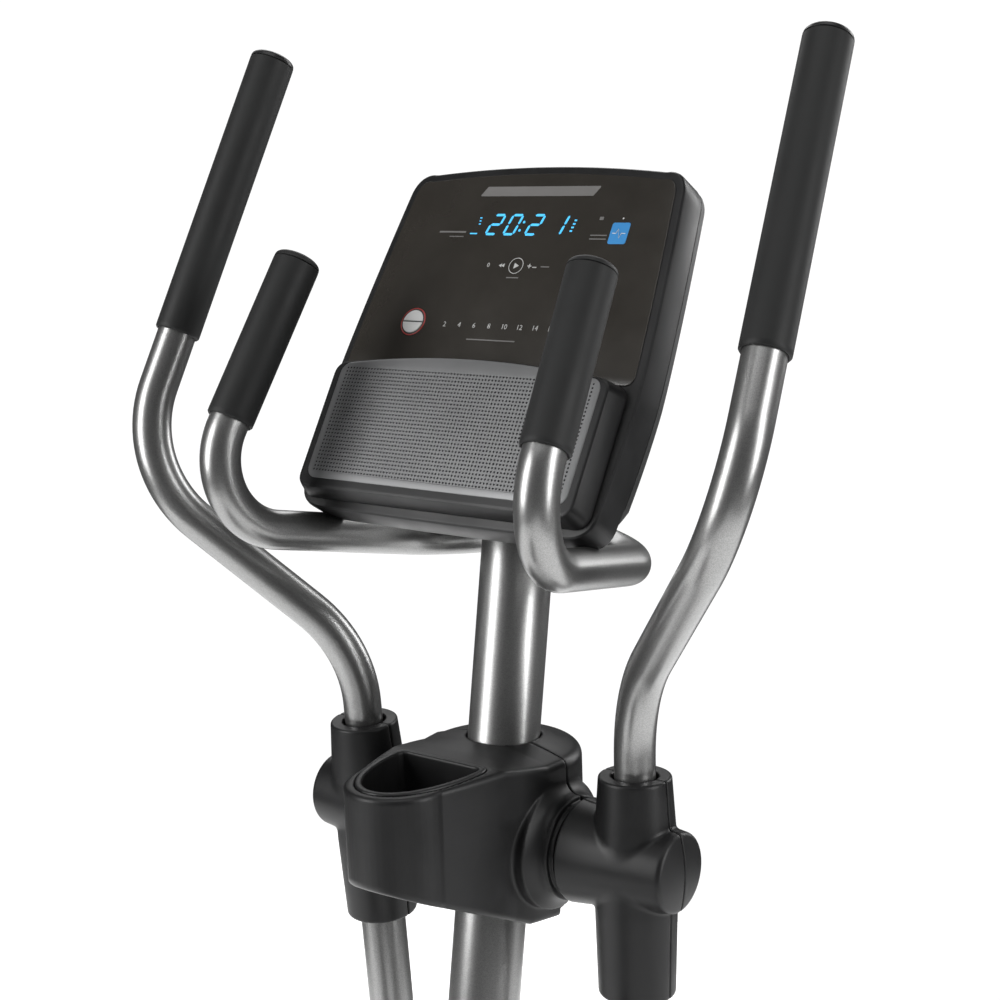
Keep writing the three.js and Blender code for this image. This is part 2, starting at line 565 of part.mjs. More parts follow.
// ---- Swing arms: leg, pivot cover, handlebar and grip, each side turning on the pivot axle ----
const HANDLE = {
  foot: 30, bend: point(COVER_X, 0, 148), elbow: point(304.2, -106.6, 328.8),
    gripFoot: point(293.8, -41.3, 439.5),
  gripTop: point(272, 94.6, 670.1), radii: [127.5, 106.5],
};
const HUB = { x0: 95, x1: 178, radius: 22 };
const PEDAL_ARM = { length: 930, width: 40, height: 60, wall: 2.5, start: 48 };
const FORK = { inner: 31, plate: 6, radius: 24 };
const COVER_TUBE = [[-115, 33], [-40, 35], [20, 35], [77, 31]];
const COVER_HUB = { x0: 94.5, x1: 197, innerRadius: 45.5, outerRadius: 33.7 };

function mirrored(v, side) {
  return point(v.x * side, v.y, v.z);
}

function spanX(side, a, b) {
  return side > 0 ? [a, b] : [-b, -a];
}

function makeLeg(side) {
  const [h0, h1] = spanX(side, HUB.x0, HUB.x1);
  const [s0, s1] = spanX(side, COVER_X - 30, COVER_X + 30);
  const tube = tubeZ(-LEG_LENGTH + 20, -10, LEG_RADIUS, LEG_RADIUS - 2.5, 16).translate(side * COVER_X, 0,
    0);
  const stubIn = rodZ(5, 92, PLUG_RADIUS, 12).translate(side * COVER_X, 0, 0);
  const hub = rodX(h0, h1, HUB.radius, 16);
  const sleeve = rodX(s0, s1, 25, 16).translate(0, 0, -LEG_LENGTH);
  const hubBore = rodX(h0 - 5, h1 + 5, PIN_RADIUS + CLEARANCE);
  const sleeveBore = rodX(s0 - 5, s1 + 5, PIN_RADIUS + CLEARANCE).translate(0, 0, -LEG_LENGTH);
  const vent = rodX(-LEG_RADIUS - 5, 0, 4, 10).rotateZ(Math.PI / 2).translate(side * COVER_X, 0,
    -LEG_LENGTH + 50);
  return cut(join(tube, stubIn, hub, sleeve), hubBore, sleeveBore, vent);
}

function makeHandlebar(side) {
  const lean = HANDLE.gripTop.clone().sub(HANDLE.gripFoot).normalize();
  const end = HANDLE.gripTop.clone().addScaledVector(lean, -4);
  const corners = [point(COVER_X, 0, HANDLE.foot), HANDLE.bend, HANDLE.elbow, end].map((v) =>
    mirrored(v, side));
  return bentTube(corners, HANDLE.radii, BAR_RADIUS, BAR_RADIUS - 2.5, 22);
}

function gripSleeve(from, to) {
  const length = from.distanceTo(to);
  return along(tubeZ(0, length, GRIP_RADIUS, BAR_RADIUS + 2 * CLEARANCE, 16), from, to);
}

const CAP = { dome: 8, plug: 22 };
function gripCap(from, to) {
  const profile = [[-CAP.plug, 0], [-CAP.plug, PLUG_RADIUS], [CLEARANCE, PLUG_RADIUS],
    [CLEARANCE, GRIP_RADIUS], [2, GRIP_RADIUS],
    [5.5, GRIP_RADIUS * 0.83], [7.4, GRIP_RADIUS * 0.5], [CAP.dome, 0]];
  const ahead = to.clone().multiplyScalar(2).sub(from);
  return along(turnedZ(profile, 16), to, ahead);
}

function coverBody(side, inset) {
  const wall = COVER_TUBE.map(([z, r]) =>
    [z - Math.sign(z) * (Math.abs(z) > 60 ? 2 * inset : 0), r - inset]);
  const tube = turnedZ([[wall[0][0], 0], ...wall, [wall.at(-1)[0], 0]]);
  const [near, far] = [COVER_HUB.x0 + inset, COVER_HUB.x1 - inset];
  const hub = turnedX([
    [near, 0], [near, COVER_HUB.innerRadius - inset], [far - 5, COVER_HUB.outerRadius - inset],
    [far, COVER_HUB.outerRadius - 10 - inset], [far, 0]]);
  if (side < 0) hub.rotateZ(Math.PI);
  return join(tube.translate(side * COVER_X, 0, 0), hub);
}

function pivotCover(side, front) {
  const half = front ? box(-300, 300, CLEARANCE / 2, 90, -200, 200) : box(-300, 300, -90, -CLEARANCE / 2,
    -200, 200);
  const legHole = rodZ(-200, 0, LEG_RADIUS + 1.2, 16).translate(side * COVER_X, 0, 0);
  const barHole = rodZ(0, 200, BAR_RADIUS + 2.2, 16).translate(side * COVER_X, 0, 0);
  const [a, b] = spanX(side, 80, 120);
  const hubHole = rodX(a, b, HUB.radius + 1.8, 16);
  return cut(common(coverBody(side, 0), half), coverBody(side, SHELL), legHole, barHole, hubHole);
}

function makePedalArm(side) {
  const [halfWidth, halfHeight] = [PEDAL_ARM.width / 2, PEDAL_ARM.height / 2];
  const back = -PEDAL_ARM.length - 30;
  const tube = box(-halfWidth, halfWidth, back, -PEDAL_ARM.start, -halfHeight, halfHeight);
  const hollow = box(-halfWidth + PEDAL_ARM.wall, halfWidth - PEDAL_ARM.wall, back - 10,
    -PEDAL_ARM.start - 6,
    -halfHeight + PEDAL_ARM.wall, halfHeight - PEDAL_ARM.wall);
  const plates = [-1, 1].map((end) => {
    const shape = new THREE.Shape();
    shape.absarc(0, 0, FORK.radius, -Math.PI / 2, Math.PI / 2);
    shape.lineTo(-PEDAL_ARM.start - 60, FORK.radius);
    shape.lineTo(-PEDAL_ARM.start - 60, -FORK.radius);
    shape.closePath();
    return slabX(shape, ...spanX(end, FORK.inner, FORK.inner + FORK.plate), 6);
  });
  const outerEdge = FORK.inner + FORK.plate;
  const crossPlate = box(-outerEdge, outerEdge, -PEDAL_ARM.start - 6, -PEDAL_ARM.start + 4, -FORK.radius,
    FORK.radius);
  const backPlate = box(-outerEdge, outerEdge, -PEDAL_ARM.start - 60, -PEDAL_ARM.start - 54, -FORK.radius,
    FORK.radius);
  const pin = rodX(-outerEdge - 5, outerEdge + 5, PIN_RADIUS, 16);
  const reach = COVER_X - CRANK_OUTER - 1;
  const [p0, p1] = side > 0 ? [-reach, 0] : [0, reach];
  const crankPin = rodX(p0, p1, 9, 12).translate(0, -PEDAL_ARM.length, 0);
  const collar = rodX(...(side > 0 ? [-34, 0] : [0, 34]), 17, 12).translate(0, -PEDAL_ARM.length, 0);
  return join(cut(tube, hollow), ...plates, crossPlate, backPlate, pin, crankPin, collar);
}

const PEDAL = { back: -925, front: -575, inner: -60, outer: 90, base: 34, floor: 6, rim: 26 };
function makePedal(side) {
  const outline = (inset) => {
    const shape = new THREE.Shape();
    const corner = 30;
    const [x0, x1] = spanX(side, PEDAL.inner, PEDAL.outer);
    const [y0, y1] = [PEDAL.back + inset, PEDAL.front - inset];
    const [a, b] = [x0 + inset, x1 - inset];
    shape.moveTo(a + corner, y0);
    shape.lineTo(b - corner, y0);
    shape.absarc(b - corner, y0 + corner, corner, -Math.PI / 2, 0);
    shape.lineTo(b, y1 - corner * 1.6);
    shape.quadraticCurveTo(b, y1, b - corner * 1.6, y1);
    shape.lineTo(a + corner * 1.6, y1);
    shape.quadraticCurveTo(a, y1, a, y1 - corner * 1.6);
    shape.lineTo(a, y0 + corner);
    shape.absarc(a + corner, y0 + corner, corner, Math.PI, 1.5 * Math.PI);
    return shape;
  };
  const body = slabZ(outline(0), PEDAL.base, PEDAL.base + PEDAL.rim, 4);
  const tray = slabZ(outline(4), PEDAL.base + PEDAL.floor, PEDAL.base + PEDAL.rim + 5, 4);
  const feet = [PEDAL.back + 60, PEDAL.front - 60].map((y) =>
    box(-16, 16, y - 18, y + 18, PEDAL_ARM.height / 2 + CLEARANCE, PEDAL.base + 2));
  return join(cut(body, tray), ...feet);
}

for (const [name, side] of SIDES) {
  const tilt = radians(side > 0 ? RIGHT_ARM_TILT : LEFT_ARM_TILT);
  const arm = new THREE.Group();
  arm.rotation.x = tilt;
  pivot.add(arm);
  const [gripFoot, gripTop] = [mirrored(HANDLE.gripFoot, side), mirrored(HANDLE.gripTop, side)];
  add(arm, `${name}_leg`, makeLeg(side), silver);
  add(arm, `${name}_handlebar`, makeHandlebar(side), silver);
  add(arm, `${name}_grip`, gripSleeve(gripFoot, gripTop), foam);
  add(arm, `${name}_grip_cap`, gripCap(gripFoot, gripTop), plastic);
  add(arm, `${name}_cover_front`, pivotCover(side, true), plastic);
  add(arm, `${name}_cover_rear`, pivotCover(side, false), plastic);

  const legPin = point(side * COVER_X, LEG_LENGTH * Math.sin(tilt), -LEG_LENGTH * Math.cos(tilt));
  const crankPin = point(0, CRANK.y - PIVOT.y, CRANK.z - PIVOT.z);
  crankPin.y += side * CRANK_RADIUS * Math.cos(radians(CRANK_ANGLE));
  crankPin.z += side * CRANK_RADIUS * Math.sin(radians(CRANK_ANGLE));
  const link = new THREE.Group();
  link.position.copy(legPin);
  link.rotation.x = -Math.atan2(crankPin.z - legPin.z, legPin.y - crankPin.y);
  pivot.add(link);
  add(link, `${name}_pedal_arm`, makePedalArm(side), silver);
  add(link, `${name}_pedal`, makePedal(side), plastic);
}

// ---- Fixed handlebar and its closed-end grips ----
const FIXED = {
  middle: point(0, 103, 255), corner: point(109.5, 83, 236), hook: point(172.1, -187.5, 292.9),
  gripFoot: point(165.5, -134.6, 374.3), gripTop: point(155.4, -53.6, 499), radii: [63, 74, 200, 74, 63],
};
const fixedHalf = (side) => [FIXED.gripTop, FIXED.hook, FIXED.corner].map((v) => mirrored(v, side));
const fixedCorners = [...fixedHalf(1), FIXED.middle, ...fixedHalf(-1).reverse()];
const fixedBar = bentTube(fixedCorners, FIXED.radii, BAR_RADIUS, BAR_RADIUS - 2.5, 46);
add(pivot, "fixed_handlebar", fixedBar, silver);

for (const [name, side] of SIDES) {
  const [foot, top] = [mirrored(FIXED.gripFoot, side), mirrored(FIXED.gripTop, side)];
  const length = foot.distanceTo(top);
  const bore = BAR_RADIUS + 2 * CLEARANCE;
  const profile = [[0, bore], [0, GRIP_RADIUS], [length + 2, GRIP_RADIUS], [length + 6, GRIP_RADIUS * 0.8],
    [length + CAP.dome, 0], [length + CLEARANCE, 0], [length + CLEARANCE, bore]];
  const closed = turnedZ([...profile.slice(5), ...profile.slice(0, 5)], 16);
  add(pivot, `fixed_grip_${name}`, along(closed, foot, top), foam);
}

// The clamp wraps the front of the mast and the middle of the fixed handlebar.
const clampBlock = box(-38, 38, 48, 126, 226, 284);
const clampBar = bentTube(fixedCorners, FIXED.radii, BAR_RADIUS + 0.8, 0, 46);
const clampMast = along(rodZ(-300, 300, MAST_RADIUS + 2 * CLEARANCE, 24), leanPoint(0), mastHead);
add(pivot, "handlebar_clamp", cut(clampBlock, clampBar, clampMast), blackPaint);

// ---- Console, in its own frame: X right, Y up the face, Z out of the face ----
const consoleFrame = new THREE.Group();
consoleFrame.position.set(0, CONSOLE.y, CONSOLE.z);
consoleFrame.rotation.x = radians(CONSOLE.tilt);
pivot.add(consoleFrame);

function consoleOutline(inset) {
  const shape = new THREE.Shape();
  const corner = 26;
  const [top, waist, foot] = [CONSOLE_HALF.top - inset, CONSOLE_HALF.waist - inset,
    CONSOLE_HALF.foot - inset];
  const [high, low] = [CONSOLE_HIGH - inset, CONSOLE_LOW + inset];
  shape.moveTo(-foot + corner, low);
  shape.quadraticCurveTo(0, low - 2, foot - corner, low);
  shape.quadraticCurveTo(foot, low, foot, low + corner);
  shape.quadraticCurveTo(waist + 2, -200, waist - 2, -140);
  shape.lineTo(top, high - corner);
  shape.quadraticCurveTo(top - 2, high, top - corner, high);
  shape.lineTo(-top + corner, high);
  shape.quadraticCurveTo(-top + 2, high, -top, high - corner);
  shape.lineTo(-waist + 2, -140);
  shape.quadraticCurveTo(-waist - 2, -200, -foot, low + corner);
  shape.quadraticCurveTo(-foot, low, -foot + corner, low);
  return shape;
}

function roundedRect(x0, x1, y0, y1, corner) {
  const shape = new THREE.Shape();
  shape.moveTo(x0 + corner, y0);
  shape.lineTo(x1 - corner, y0);
  shape.absarc(x1 - corner, y0 + corner, corner, -Math.PI / 2, 0);
  shape.lineTo(x1, y1 - corner);
  shape.absarc(x1 - corner, y1 - corner, corner, 0, Math.PI / 2);
  shape.lineTo(x0 + corner, y1);
  shape.absarc(x0 + corner, y1 - corner, corner, Math.PI / 2, Math.PI);
  shape.lineTo(x0, y0 + corner);
  shape.absarc(x0 + corner, y0 + corner, corner, Math.PI, 1.5 * Math.PI);
  return shape;
}

const FACE = { panel: -8, overlayTop: 8, overlayLow: -184, overlayHalf: 138 };
const ROCKER = { x: 93, y: -139, radius: 12.5, travel: 1.2 };
const SHELF = { top: -190, low: -311, half: 152, depth: 20 };

// The tub's lower back edge is bevelled, where the fixed handlebar passes under it.
const bevel = (inset) => {
  const wedge = box(-200, 200, -100, 0, -100, 0).rotateX(radians(57));
  return wedge.translate(0, CONSOLE_LOW + 2 + inset, -11 + inset);
};
const tubHollow = cut(slabZ(consoleOutline(SHELL), -CONSOLE.depth + SHELL, 10), bevel(SHELL));
const backTub = cut(
  slabZ(consoleOutline(0), -CONSOLE.depth, FACE.panel - CLEARANCE), tubHollow, bevel(0),
  rodZ(-60, 0, 18, 12).translate(0, -150, 0));
add(consoleFrame, "console_back", backTub, plastic);

const overlayHole = roundedRect(-FACE.overlayHalf, FACE.overlayHalf, FACE.overlayLow, FACE.overlayTop, 14);
const overlayShape = roundedRect(-FACE.overlayHalf + CLEARANCE, FACE.overlayHalf - CLEARANCE,
  FACE.overlayLow + CLEARANCE, FACE.overlayTop - CLEARANCE, 14 - CLEARANCE);
const rockerBores = SIDES.map(([, side]) =>
  rodZ(-20, 20, ROCKER.radius + 2 * CLEARANCE, 16).translate(side * ROCKER.x, ROCKER.y, 0));
const speakerHoles = SIDES.map(([, side]) => rodZ(-20, 30, 40, 16).translate(side * 80, -250, 0));
const fascia = cut(slabZ(consoleOutline(0), FACE.panel, 0), slabZ(overlayHole, -3, 10), ...rockerBores,
  ...speakerHoles);
add(consoleFrame, "console_fascia", fascia, plastic);
const overlay = cut(slabZ(overlayShape, -3 + CLEARANCE, -0.6), ...rockerBores);
add(consoleFrame, "console_overlay", overlay, glossPanel);

const shelfShape = roundedRect(-SHELF.half, SHELF.half, SHELF.low, SHELF.top, 12);
const shelfHollow = roundedRect(-SHELF.half + 4, SHELF.half - 4, SHELF.low + 4, SHELF.top - 4, 9);
const shelf = cut(
  slabZ(shelfShape, CLEARANCE, SHELF.depth), slabZ(shelfHollow, -1, SHELF.depth - 4), ...speakerHoles);
add(consoleFrame, "console_shelf", shelf, plastic);
const grilleShape = roundedRect(-SHELF.half + 8, SHELF.half - 8, SHELF.low + 12, SHELF.top - 2, 12);
add(consoleFrame, "speaker_grille", slabZ(grilleShape, SHELF.depth + CLEARANCE, SHELF.depth + 2), grey);

const boardShape = roundedRect(-115, 115, -120, -20, 4);
add(consoleFrame, "circuit_board", slabZ(boardShape, -26, -24.4, 2), board);
for (const [name, side] of SIDES) {
  const cone = turnedZ([[-30, 0], [-30, 22], [-20, 24], [-8.6 - 3, 36], [-8.6, 39], [-8.6, 33], [-14, 16],
    [-14, 0]], 16);
  add(consoleFrame, `speaker_${name}`, cone, blackPaint).position.set(side * 80, -250, 0);
  const button = turnedZ([[-7, 0], [-7, ROCKER.radius], [1.4, ROCKER.radius], [2.2, ROCKER.radius - 1.5],
    [2.2, 0]], 16);
  add(consoleFrame, `${name}_rocker`, button, buttonWhite).position.set(side * ROCKER.x, ROCKER.y, 0);
}

// The bracket slides into the top of the mast and carries the console's back.
const facePoint = (y, out) => {
  const [c, s] = [Math.cos(radians(CONSOLE.tilt)), Math.sin(radians(CONSOLE.tilt))];
  return point(0, CONSOLE.y + y * c - out * s, CONSOLE.z + y * s + out * c);
};
const plateOut = -CONSOLE.depth - CLEARANCE;
const plate = slabZ(roundedRect(-50, 50, -240, -90, 10), plateOut - 5, plateOut, 3);
const faceTurn = (geometry) => geometry.rotateX(radians(CONSOLE.tilt)).translate(0, CONSOLE.y, CONSOLE.z);
const neckInner = MAST_RADIUS - MAST_WALL - CLEARANCE - 4;
const neckFoot = leanPoint(MAST_TOP - 70);
const neck = along(rodZ(0, 190, MAST_RADIUS - MAST_WALL - 3 * CLEARANCE, 20), neckFoot, mastHead);
const neckBore = along(rodZ(-5, 300, neckInner, 16), neckFoot, mastHead);
const ahead = faceTurn(slabZ(roundedRect(-200, 200, -400, 200, 5), plateOut, plateOut + 300, 2));
const bracket = cut(join(faceTurn(plate), neck), neckBore, ahead);
add(pivot, "console_bracket", bracket, blackPaint);

// ---- Wire harness, from the console down the mast and along the rail to the motor ----
const beside = (z, out) => leanPoint(z).add(point(0, out, 0));
const railZ = RAIL.low + 22 - PIVOT.z;
const harnessPoints = [
  facePoint(-150, -34), facePoint(-150, -48), leanPoint(430), leanPoint(380), beside(300, 4),
    beside(120, 16), beside(45, 25),
  beside(0, 25), beside(-45, 25), beside(-120, 16), beside(-300, 4), beside(-600, 0), beside(-830, 0),
  point(0, leanPoint(railZ).y - 6, railZ + 12),
  point(0, leanPoint(railZ).y - 40, railZ), point(6, -300, railZ),
    point(12, HARNESS_EXIT.y - PIVOT.y + 60, railZ),
  point(HARNESS_EXIT.x, HARNESS_EXIT.y - PIVOT.y + 8, railZ + 8),
  point(HARNESS_EXIT.x, HARNESS_EXIT.y - PIVOT.y, railZ + 28),
    point(HARNESS_EXIT.x, HARNESS_EXIT.y - PIVOT.y, 155 - PIVOT.z),
  point(HARNESS_EXIT.x + 4, HARNESS_EXIT.y - 12 - PIVOT.y, 172 - PIVOT.z),
  point(24, MOTOR.y1 + 1 - PIVOT.y, 175 - PIVOT.z),
];
const harnessPath = new THREE.CatmullRomCurve3(harnessPoints, false, "centripetal");
const harness = new THREE.ExtrudeGeometry(
  ringShape(3, 0), { steps: 56, extrudePath: harnessPath, curveSegments: 3 });
add(pivot, "wire_harness", outward(mergeVertices(stripped(harness), 1e-3)), lead);

export default machine;
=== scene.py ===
"""Elliptical trainer: the looks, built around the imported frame.

Shapes are written in millimetres and placed in metres.
"""
import json
import math

import bpy
import numpy as np
from mathutils import Matrix, Vector


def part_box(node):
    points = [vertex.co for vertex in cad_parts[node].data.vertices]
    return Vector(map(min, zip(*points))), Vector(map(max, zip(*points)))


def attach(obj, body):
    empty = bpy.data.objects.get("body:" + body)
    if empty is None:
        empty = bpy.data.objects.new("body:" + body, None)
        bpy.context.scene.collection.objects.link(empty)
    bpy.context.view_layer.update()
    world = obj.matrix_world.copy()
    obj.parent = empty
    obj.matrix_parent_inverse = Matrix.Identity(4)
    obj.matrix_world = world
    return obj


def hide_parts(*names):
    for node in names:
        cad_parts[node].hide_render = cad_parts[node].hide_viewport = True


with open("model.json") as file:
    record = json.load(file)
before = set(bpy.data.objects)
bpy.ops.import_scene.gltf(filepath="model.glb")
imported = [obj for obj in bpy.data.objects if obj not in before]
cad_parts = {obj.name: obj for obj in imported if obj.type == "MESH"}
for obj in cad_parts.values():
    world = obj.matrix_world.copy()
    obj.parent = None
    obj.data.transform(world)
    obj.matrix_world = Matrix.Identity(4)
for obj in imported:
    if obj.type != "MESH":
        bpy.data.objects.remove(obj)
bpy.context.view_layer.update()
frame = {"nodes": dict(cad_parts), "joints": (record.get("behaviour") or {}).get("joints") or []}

MM = 0.001
JOINTS = {joint["name"]: joint for joint in frame["joints"]}


def joint_point(name):
    return Vector(JOINTS[name]["pos_m"]) / MM


def node_box(node):
    low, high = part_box(node)
    return low / MM, high / MM


# ---- Places, from the frame ----
PIVOT = Vector((0, joint_point("right_swing").y, joint_point("right_swing").z))
CRANK = joint_point("crank_spin")
FLYWHEEL = joint_point("flywheel_spin")
ARM_X = joint_point("right_pedal_pivot").x
SIDES = (("right", 1), ("left", -1))

# ---- Driving sizes ----
BAR_RADIUS = 17.5
GRIP_RADIUS = 20.5
LEG_RADIUS = 21
MAST_RADIUS = 32
MAST_LEAN = 0.18
CRANK_RADIUS = 170
CRANK_ANGLE = 97.7
CONSOLE_TILT = 58.2
CONSOLE_ORIGIN = Vector((0, 100, 562))


def at(x, y, z):
    return Matrix.Translation((x, y, z))


def turned(angle, axis):
    return Matrix.Rotation(math.radians(angle), 4, axis)


TO_X = turned(90, "Y")
IDENTITY = Matrix.Identity(4)
MIRROR = Matrix.Diagonal((-1, 1, 1, 1))
ON_PIVOT = at(*PIVOT)
ON_CONSOLE = ON_PIVOT @ at(*CONSOLE_ORIGIN) @ turned(CONSOLE_TILT, "X")


def mirror(side):
    """Shapes are made for the right-hand side, so the left-hand one is a mirror image."""
    return MIRROR if side < 0 else IDENTITY


def arm_place(name):
    """The frame of one swing arm: its origin on the pivot axle, and its leg along -Z."""
    pin = joint_point(f"{name}_pedal_pivot") - PIVOT
    return ON_PIVOT @ Matrix.Rotation(math.atan2(pin.y, -pin.z), 4, "X")


def link_place(name, side):
    """The frame of one pedal arm: its origin at the foot of the leg, and its length along -Y."""
    pin = joint_point(f"{name}_pedal_pivot")
    angle = math.radians(CRANK_ANGLE)
    crank_pin = CRANK + side * CRANK_RADIUS * Vector((0, math.cos(angle), math.sin(angle)))
    slope = -math.atan2(crank_pin.z - pin.z, pin.y - crank_pin.y)
    return at(0, pin.y, pin.z) @ Matrix.Rotation(slope, 4, "X")


# ---- Meshes: each shape is (points, faces), in millimetres ----
def joined(*shapes):
    points, faces, start = [], [], 0
    for more_points, more_faces in shapes:
        points.append(np.asarray(more_points, float))
        faces += [tuple(i + start for i in face) for face in more_faces]
        start += len(more_points)
    return np.concatenate(points), faces


def moved(shape, matrix):
    points, faces = shape
    m = np.array(matrix, float)
    result = np.asarray(points, float) @ m[:3, :3].T + m[:3, 3]
    if np.linalg.det(m[:3, :3]) < 0:
        faces = [tuple(reversed(face)) for face in faces]
    return result, faces


def loft(rings, close_start=True, close_end=True, loop=False):
    """Closed rings of equal length, joined in order."""
    count, size = len(rings), len(rings[0])
    faces = []
    for a in range(count if loop else count - 1):
        b = (a + 1) % count
        for i in range(size):
            j = (i + 1) % size
            faces.append((a * size + i, a * size + j, b * size + j, b * size + i))
    if close_start and not loop:
        faces.append(tuple(reversed(range(size))))
    if close_end and not loop:
        faces.append(tuple(range((count - 1) * size, count * size)))
    return np.concatenate([np.asarray(ring, float) for ring in rings]), faces


def lathe(profile, sides=64):
    """A profile of (height, radius) points turned about +Z."""
    angles = np.arange(sides) * 2 * math.pi / sides
    circle = np.stack([np.cos(angles), np.sin(angles)], 1)
    rings = [np.column_stack([circle * max(radius, 1e-3), np.full(sides, height)])
             for height, radius in profile]
    if profile[0][1] > 0 and profile[-1][1] > 0:
        return loft(rings, loop=True)
    return loft(rings)


def turned_x(profile, sides=64):
    """A profile of (x, radius) points turned about +X."""
    return moved(lathe(profile, sides), TO_X)


def smooth_path(corners, radii, step=3.0):
    """Straight runs joined by arcs, with a point about every 3 degrees of bend."""
    corners = [Vector(c) for c in corners]
    points = [corners[0]]
    for before, corner, after, radius in zip(corners, corners[1:], corners[2:], radii):
        back, ahead = (before - corner).normalized(), (after - corner).normalized()
        half = back.angle(ahead) / 2
        start, end = corner + back * radius / math.tan(half), corner + ahead * radius / math.tan(half)
        centre = corner + ((start + end) / 2 - corner).normalized() * radius / math.sin(half)
        swing = (start - centre).angle(end - centre)
        steps = max(3, round(math.degrees(swing) / step))
        for i in range(steps + 1):
            t = i / steps
            spoke = (start - centre) * math.sin((1 - t) * swing) + (end - centre) * math.sin(t * swing)
            points.append(centre + spoke / math.sin(swing))
    return points + [corners[-1]]


def sweep(points, radius, sides=48):
    """A round bar along a path."""
    points = [Vector(p) for p in points]
    tangents = [(b - a).normalized() for a, b in zip(points, points[1:])]
    between = [(a + b).normalized() for a, b in zip(tangents, tangents[1:])]
    tangents = [tangents[0]] + between + [tangents[-1]]
    across = tangents[0].orthogonal().normalized()
    rings = []
    for point, tangent in zip(points, tangents):
        across = (across - tangent * across.dot(tangent)).normalized()
        up = tangent.cross(across)
        angles = [2 * math.pi * i / sides for i in range(sides)]
        rings.append([point + (across * math.cos(a) + up * math.sin(a)) * radius for a in angles])
    return loft(rings)


def along(start, end):
    """The frame whose origin is at start and whose +Z points to end."""
    start, end = Vector(start), Vector(end)
    turn = Vector((0, 0, 1)).rotation_difference(end - start)
    return Matrix.Translation(start) @ turn.to_matrix().to_4x4()


def arc(x, y, radius, start, end, steps):
    """Points of an arc about the centre x, y, anticlockwise from its start angle."""
    return [(x + radius * math.cos(a), y + radius * math.sin(a)) for a in np.linspace(start, end, steps)]


def rounded(corners, step=7.5):
    """An outline through (x, y, radius) corners, anticlockwise, each corner an arc."""
    outline = []
    for before, corner, after in zip(corners[-1:] + corners[:-1], corners, corners[1:] + corners[:1]):
        c = Vector(corner[:2])
        back, ahead = (Vector(before[:2]) - c).normalized(), (Vector(after[:2]) - c).normalized()
        half = back.angle(ahead) / 2
        radius = max(corner[2], 0.05)
        start, end = c + back * radius / math.tan(half), c + ahead * radius / math.tan(half)
        centre = c + (back + ahead).normalized() * radius / math.sin(half)
        swing = (start - centre).angle_signed(end - centre)
        steps = max(2, round(abs(math.degrees(swing)) / step))
        for i in range(steps + 1):
            spoke = start - centre
            spoke.rotate(Matrix.Rotation(-swing * i / steps, 2))
            outline.append(centre + spoke)
    return np.array([tuple(p) for p in outline])


def inset(outline, distance):
    """An anticlockwise outline moved inwards."""
    ahead = np.roll(outline, -1, 0) - outline
    ahead /= np.maximum(np.linalg.norm(ahead, axis=1, keepdims=True), 1e-9)
    normal = np.stack([-ahead[:, 1], ahead[:, 0]], 1)
    blend = normal + np.roll(normal, 1, 0)
    blend /= np.maximum(np.sum(blend * normal, axis=1, keepdims=True), 0.3)
    return outline + blend * distance


def stacked(outline, levels, axis="Z"):
    """An outline lofted along an axis, through (inset, place along the axis) levels."""
    column = "XYZ".index(axis)
    return loft([np.insert(inset(outline, grow), column, height, axis=1) for grow, height in levels])


def slab(outline, low, high, edge=1.0, steps=4):
    """An outline in X-Y given thickness along Z, with rounded edges."""
    angles = [math.pi / 2 * i / steps for i in range(steps + 1)]
    round_edge = [(edge * (1 - math.sin(angle)), edge * (1 - math.cos(angle))) for angle in angles]
    lower = [(grow, low + height) for grow, height in round_edge]
    upper = [(grow, high - height) for grow, height in reversed(round_edge)]
    return stacked(outline, lower + upper)


def standing(shape):
    """An X-Y slab turned so that its outline lies in Y-Z and its thickness along X."""
    points, faces = shape
    return np.asarray(points)[:, [2, 0, 1]], faces


# ---- Solids as distance fields, for moulded shapes with soft joins ----
def smooth_union(a, b, k):
    h = np.clip(0.5 + 0.5 * (b - a) / k, 0, 1)
    return b * (1 - h) + a * h - k * h * (1 - h)


def smooth_common(a, b, k):
    return -smooth_union(-a, -b, k)


def smooth_cut(a, b, k):
    return smooth_common(a, -b, k)


class Outline:
    """The signed distance to a closed outline, negative inside."""

    def __init__(self, points, margin=14.0, step=1.0):
        self.points = np.asarray(points, float)
        self.low = self.points.min(0) - margin
        self.step = step
        size = np.ceil((self.points.max(0) + margin - self.low) / step).astype(int) + 1
        u, v = np.meshgrid(*[self.low[i] + step * np.arange(size[i]) for i in (0, 1)], indexing="ij")
        self.table = self.exact(np.column_stack([u.ravel(), v.ravel()])).reshape(size)

    def exact(self, query):
        best = np.full(len(query), 1e18)
        inside = np.zeros(len(query), bool)
        for a, b in zip(self.points, np.roll(self.points, -1, 0)):
            edge, offset = b - a, query - a
            t = np.clip(offset @ edge / max(edge @ edge, 1e-12), 0, 1)
            best = np.minimum(best, np.sum((offset - t[:, None] * edge) ** 2, 1))
            if a[1] != b[1]:
                crosses = (query[:, 1] > min(a[1], b[1])) & (query[:, 1] <= max(a[1], b[1]))
                inside ^= crosses & (query[:, 0] < a[0] + edge[0] * (query[:, 1] - a[1]) / edge[1])
        return np.sqrt(best) * np.where(inside, -1, 1)

    def __call__(self, u, v):
        limit = np.array(self.table.shape) - 2
        x = np.clip((u - self.low[0]) / self.step, 0, limit[0] + 0.999)
        y = np.clip((v - self.low[1]) / self.step, 0, limit[1] + 0.999)
        i, j = np.minimum(x.astype(int), limit[0]), np.minimum(y.astype(int), limit[1])
        fx, fy, t = x - i, y - j, self.table
        near = t[i, j] * (1 - fy) + t[i, j + 1] * fy
        far = t[i + 1, j] * (1 - fy) + t[i + 1, j + 1] * fy
        return near * (1 - fx) + far * fx


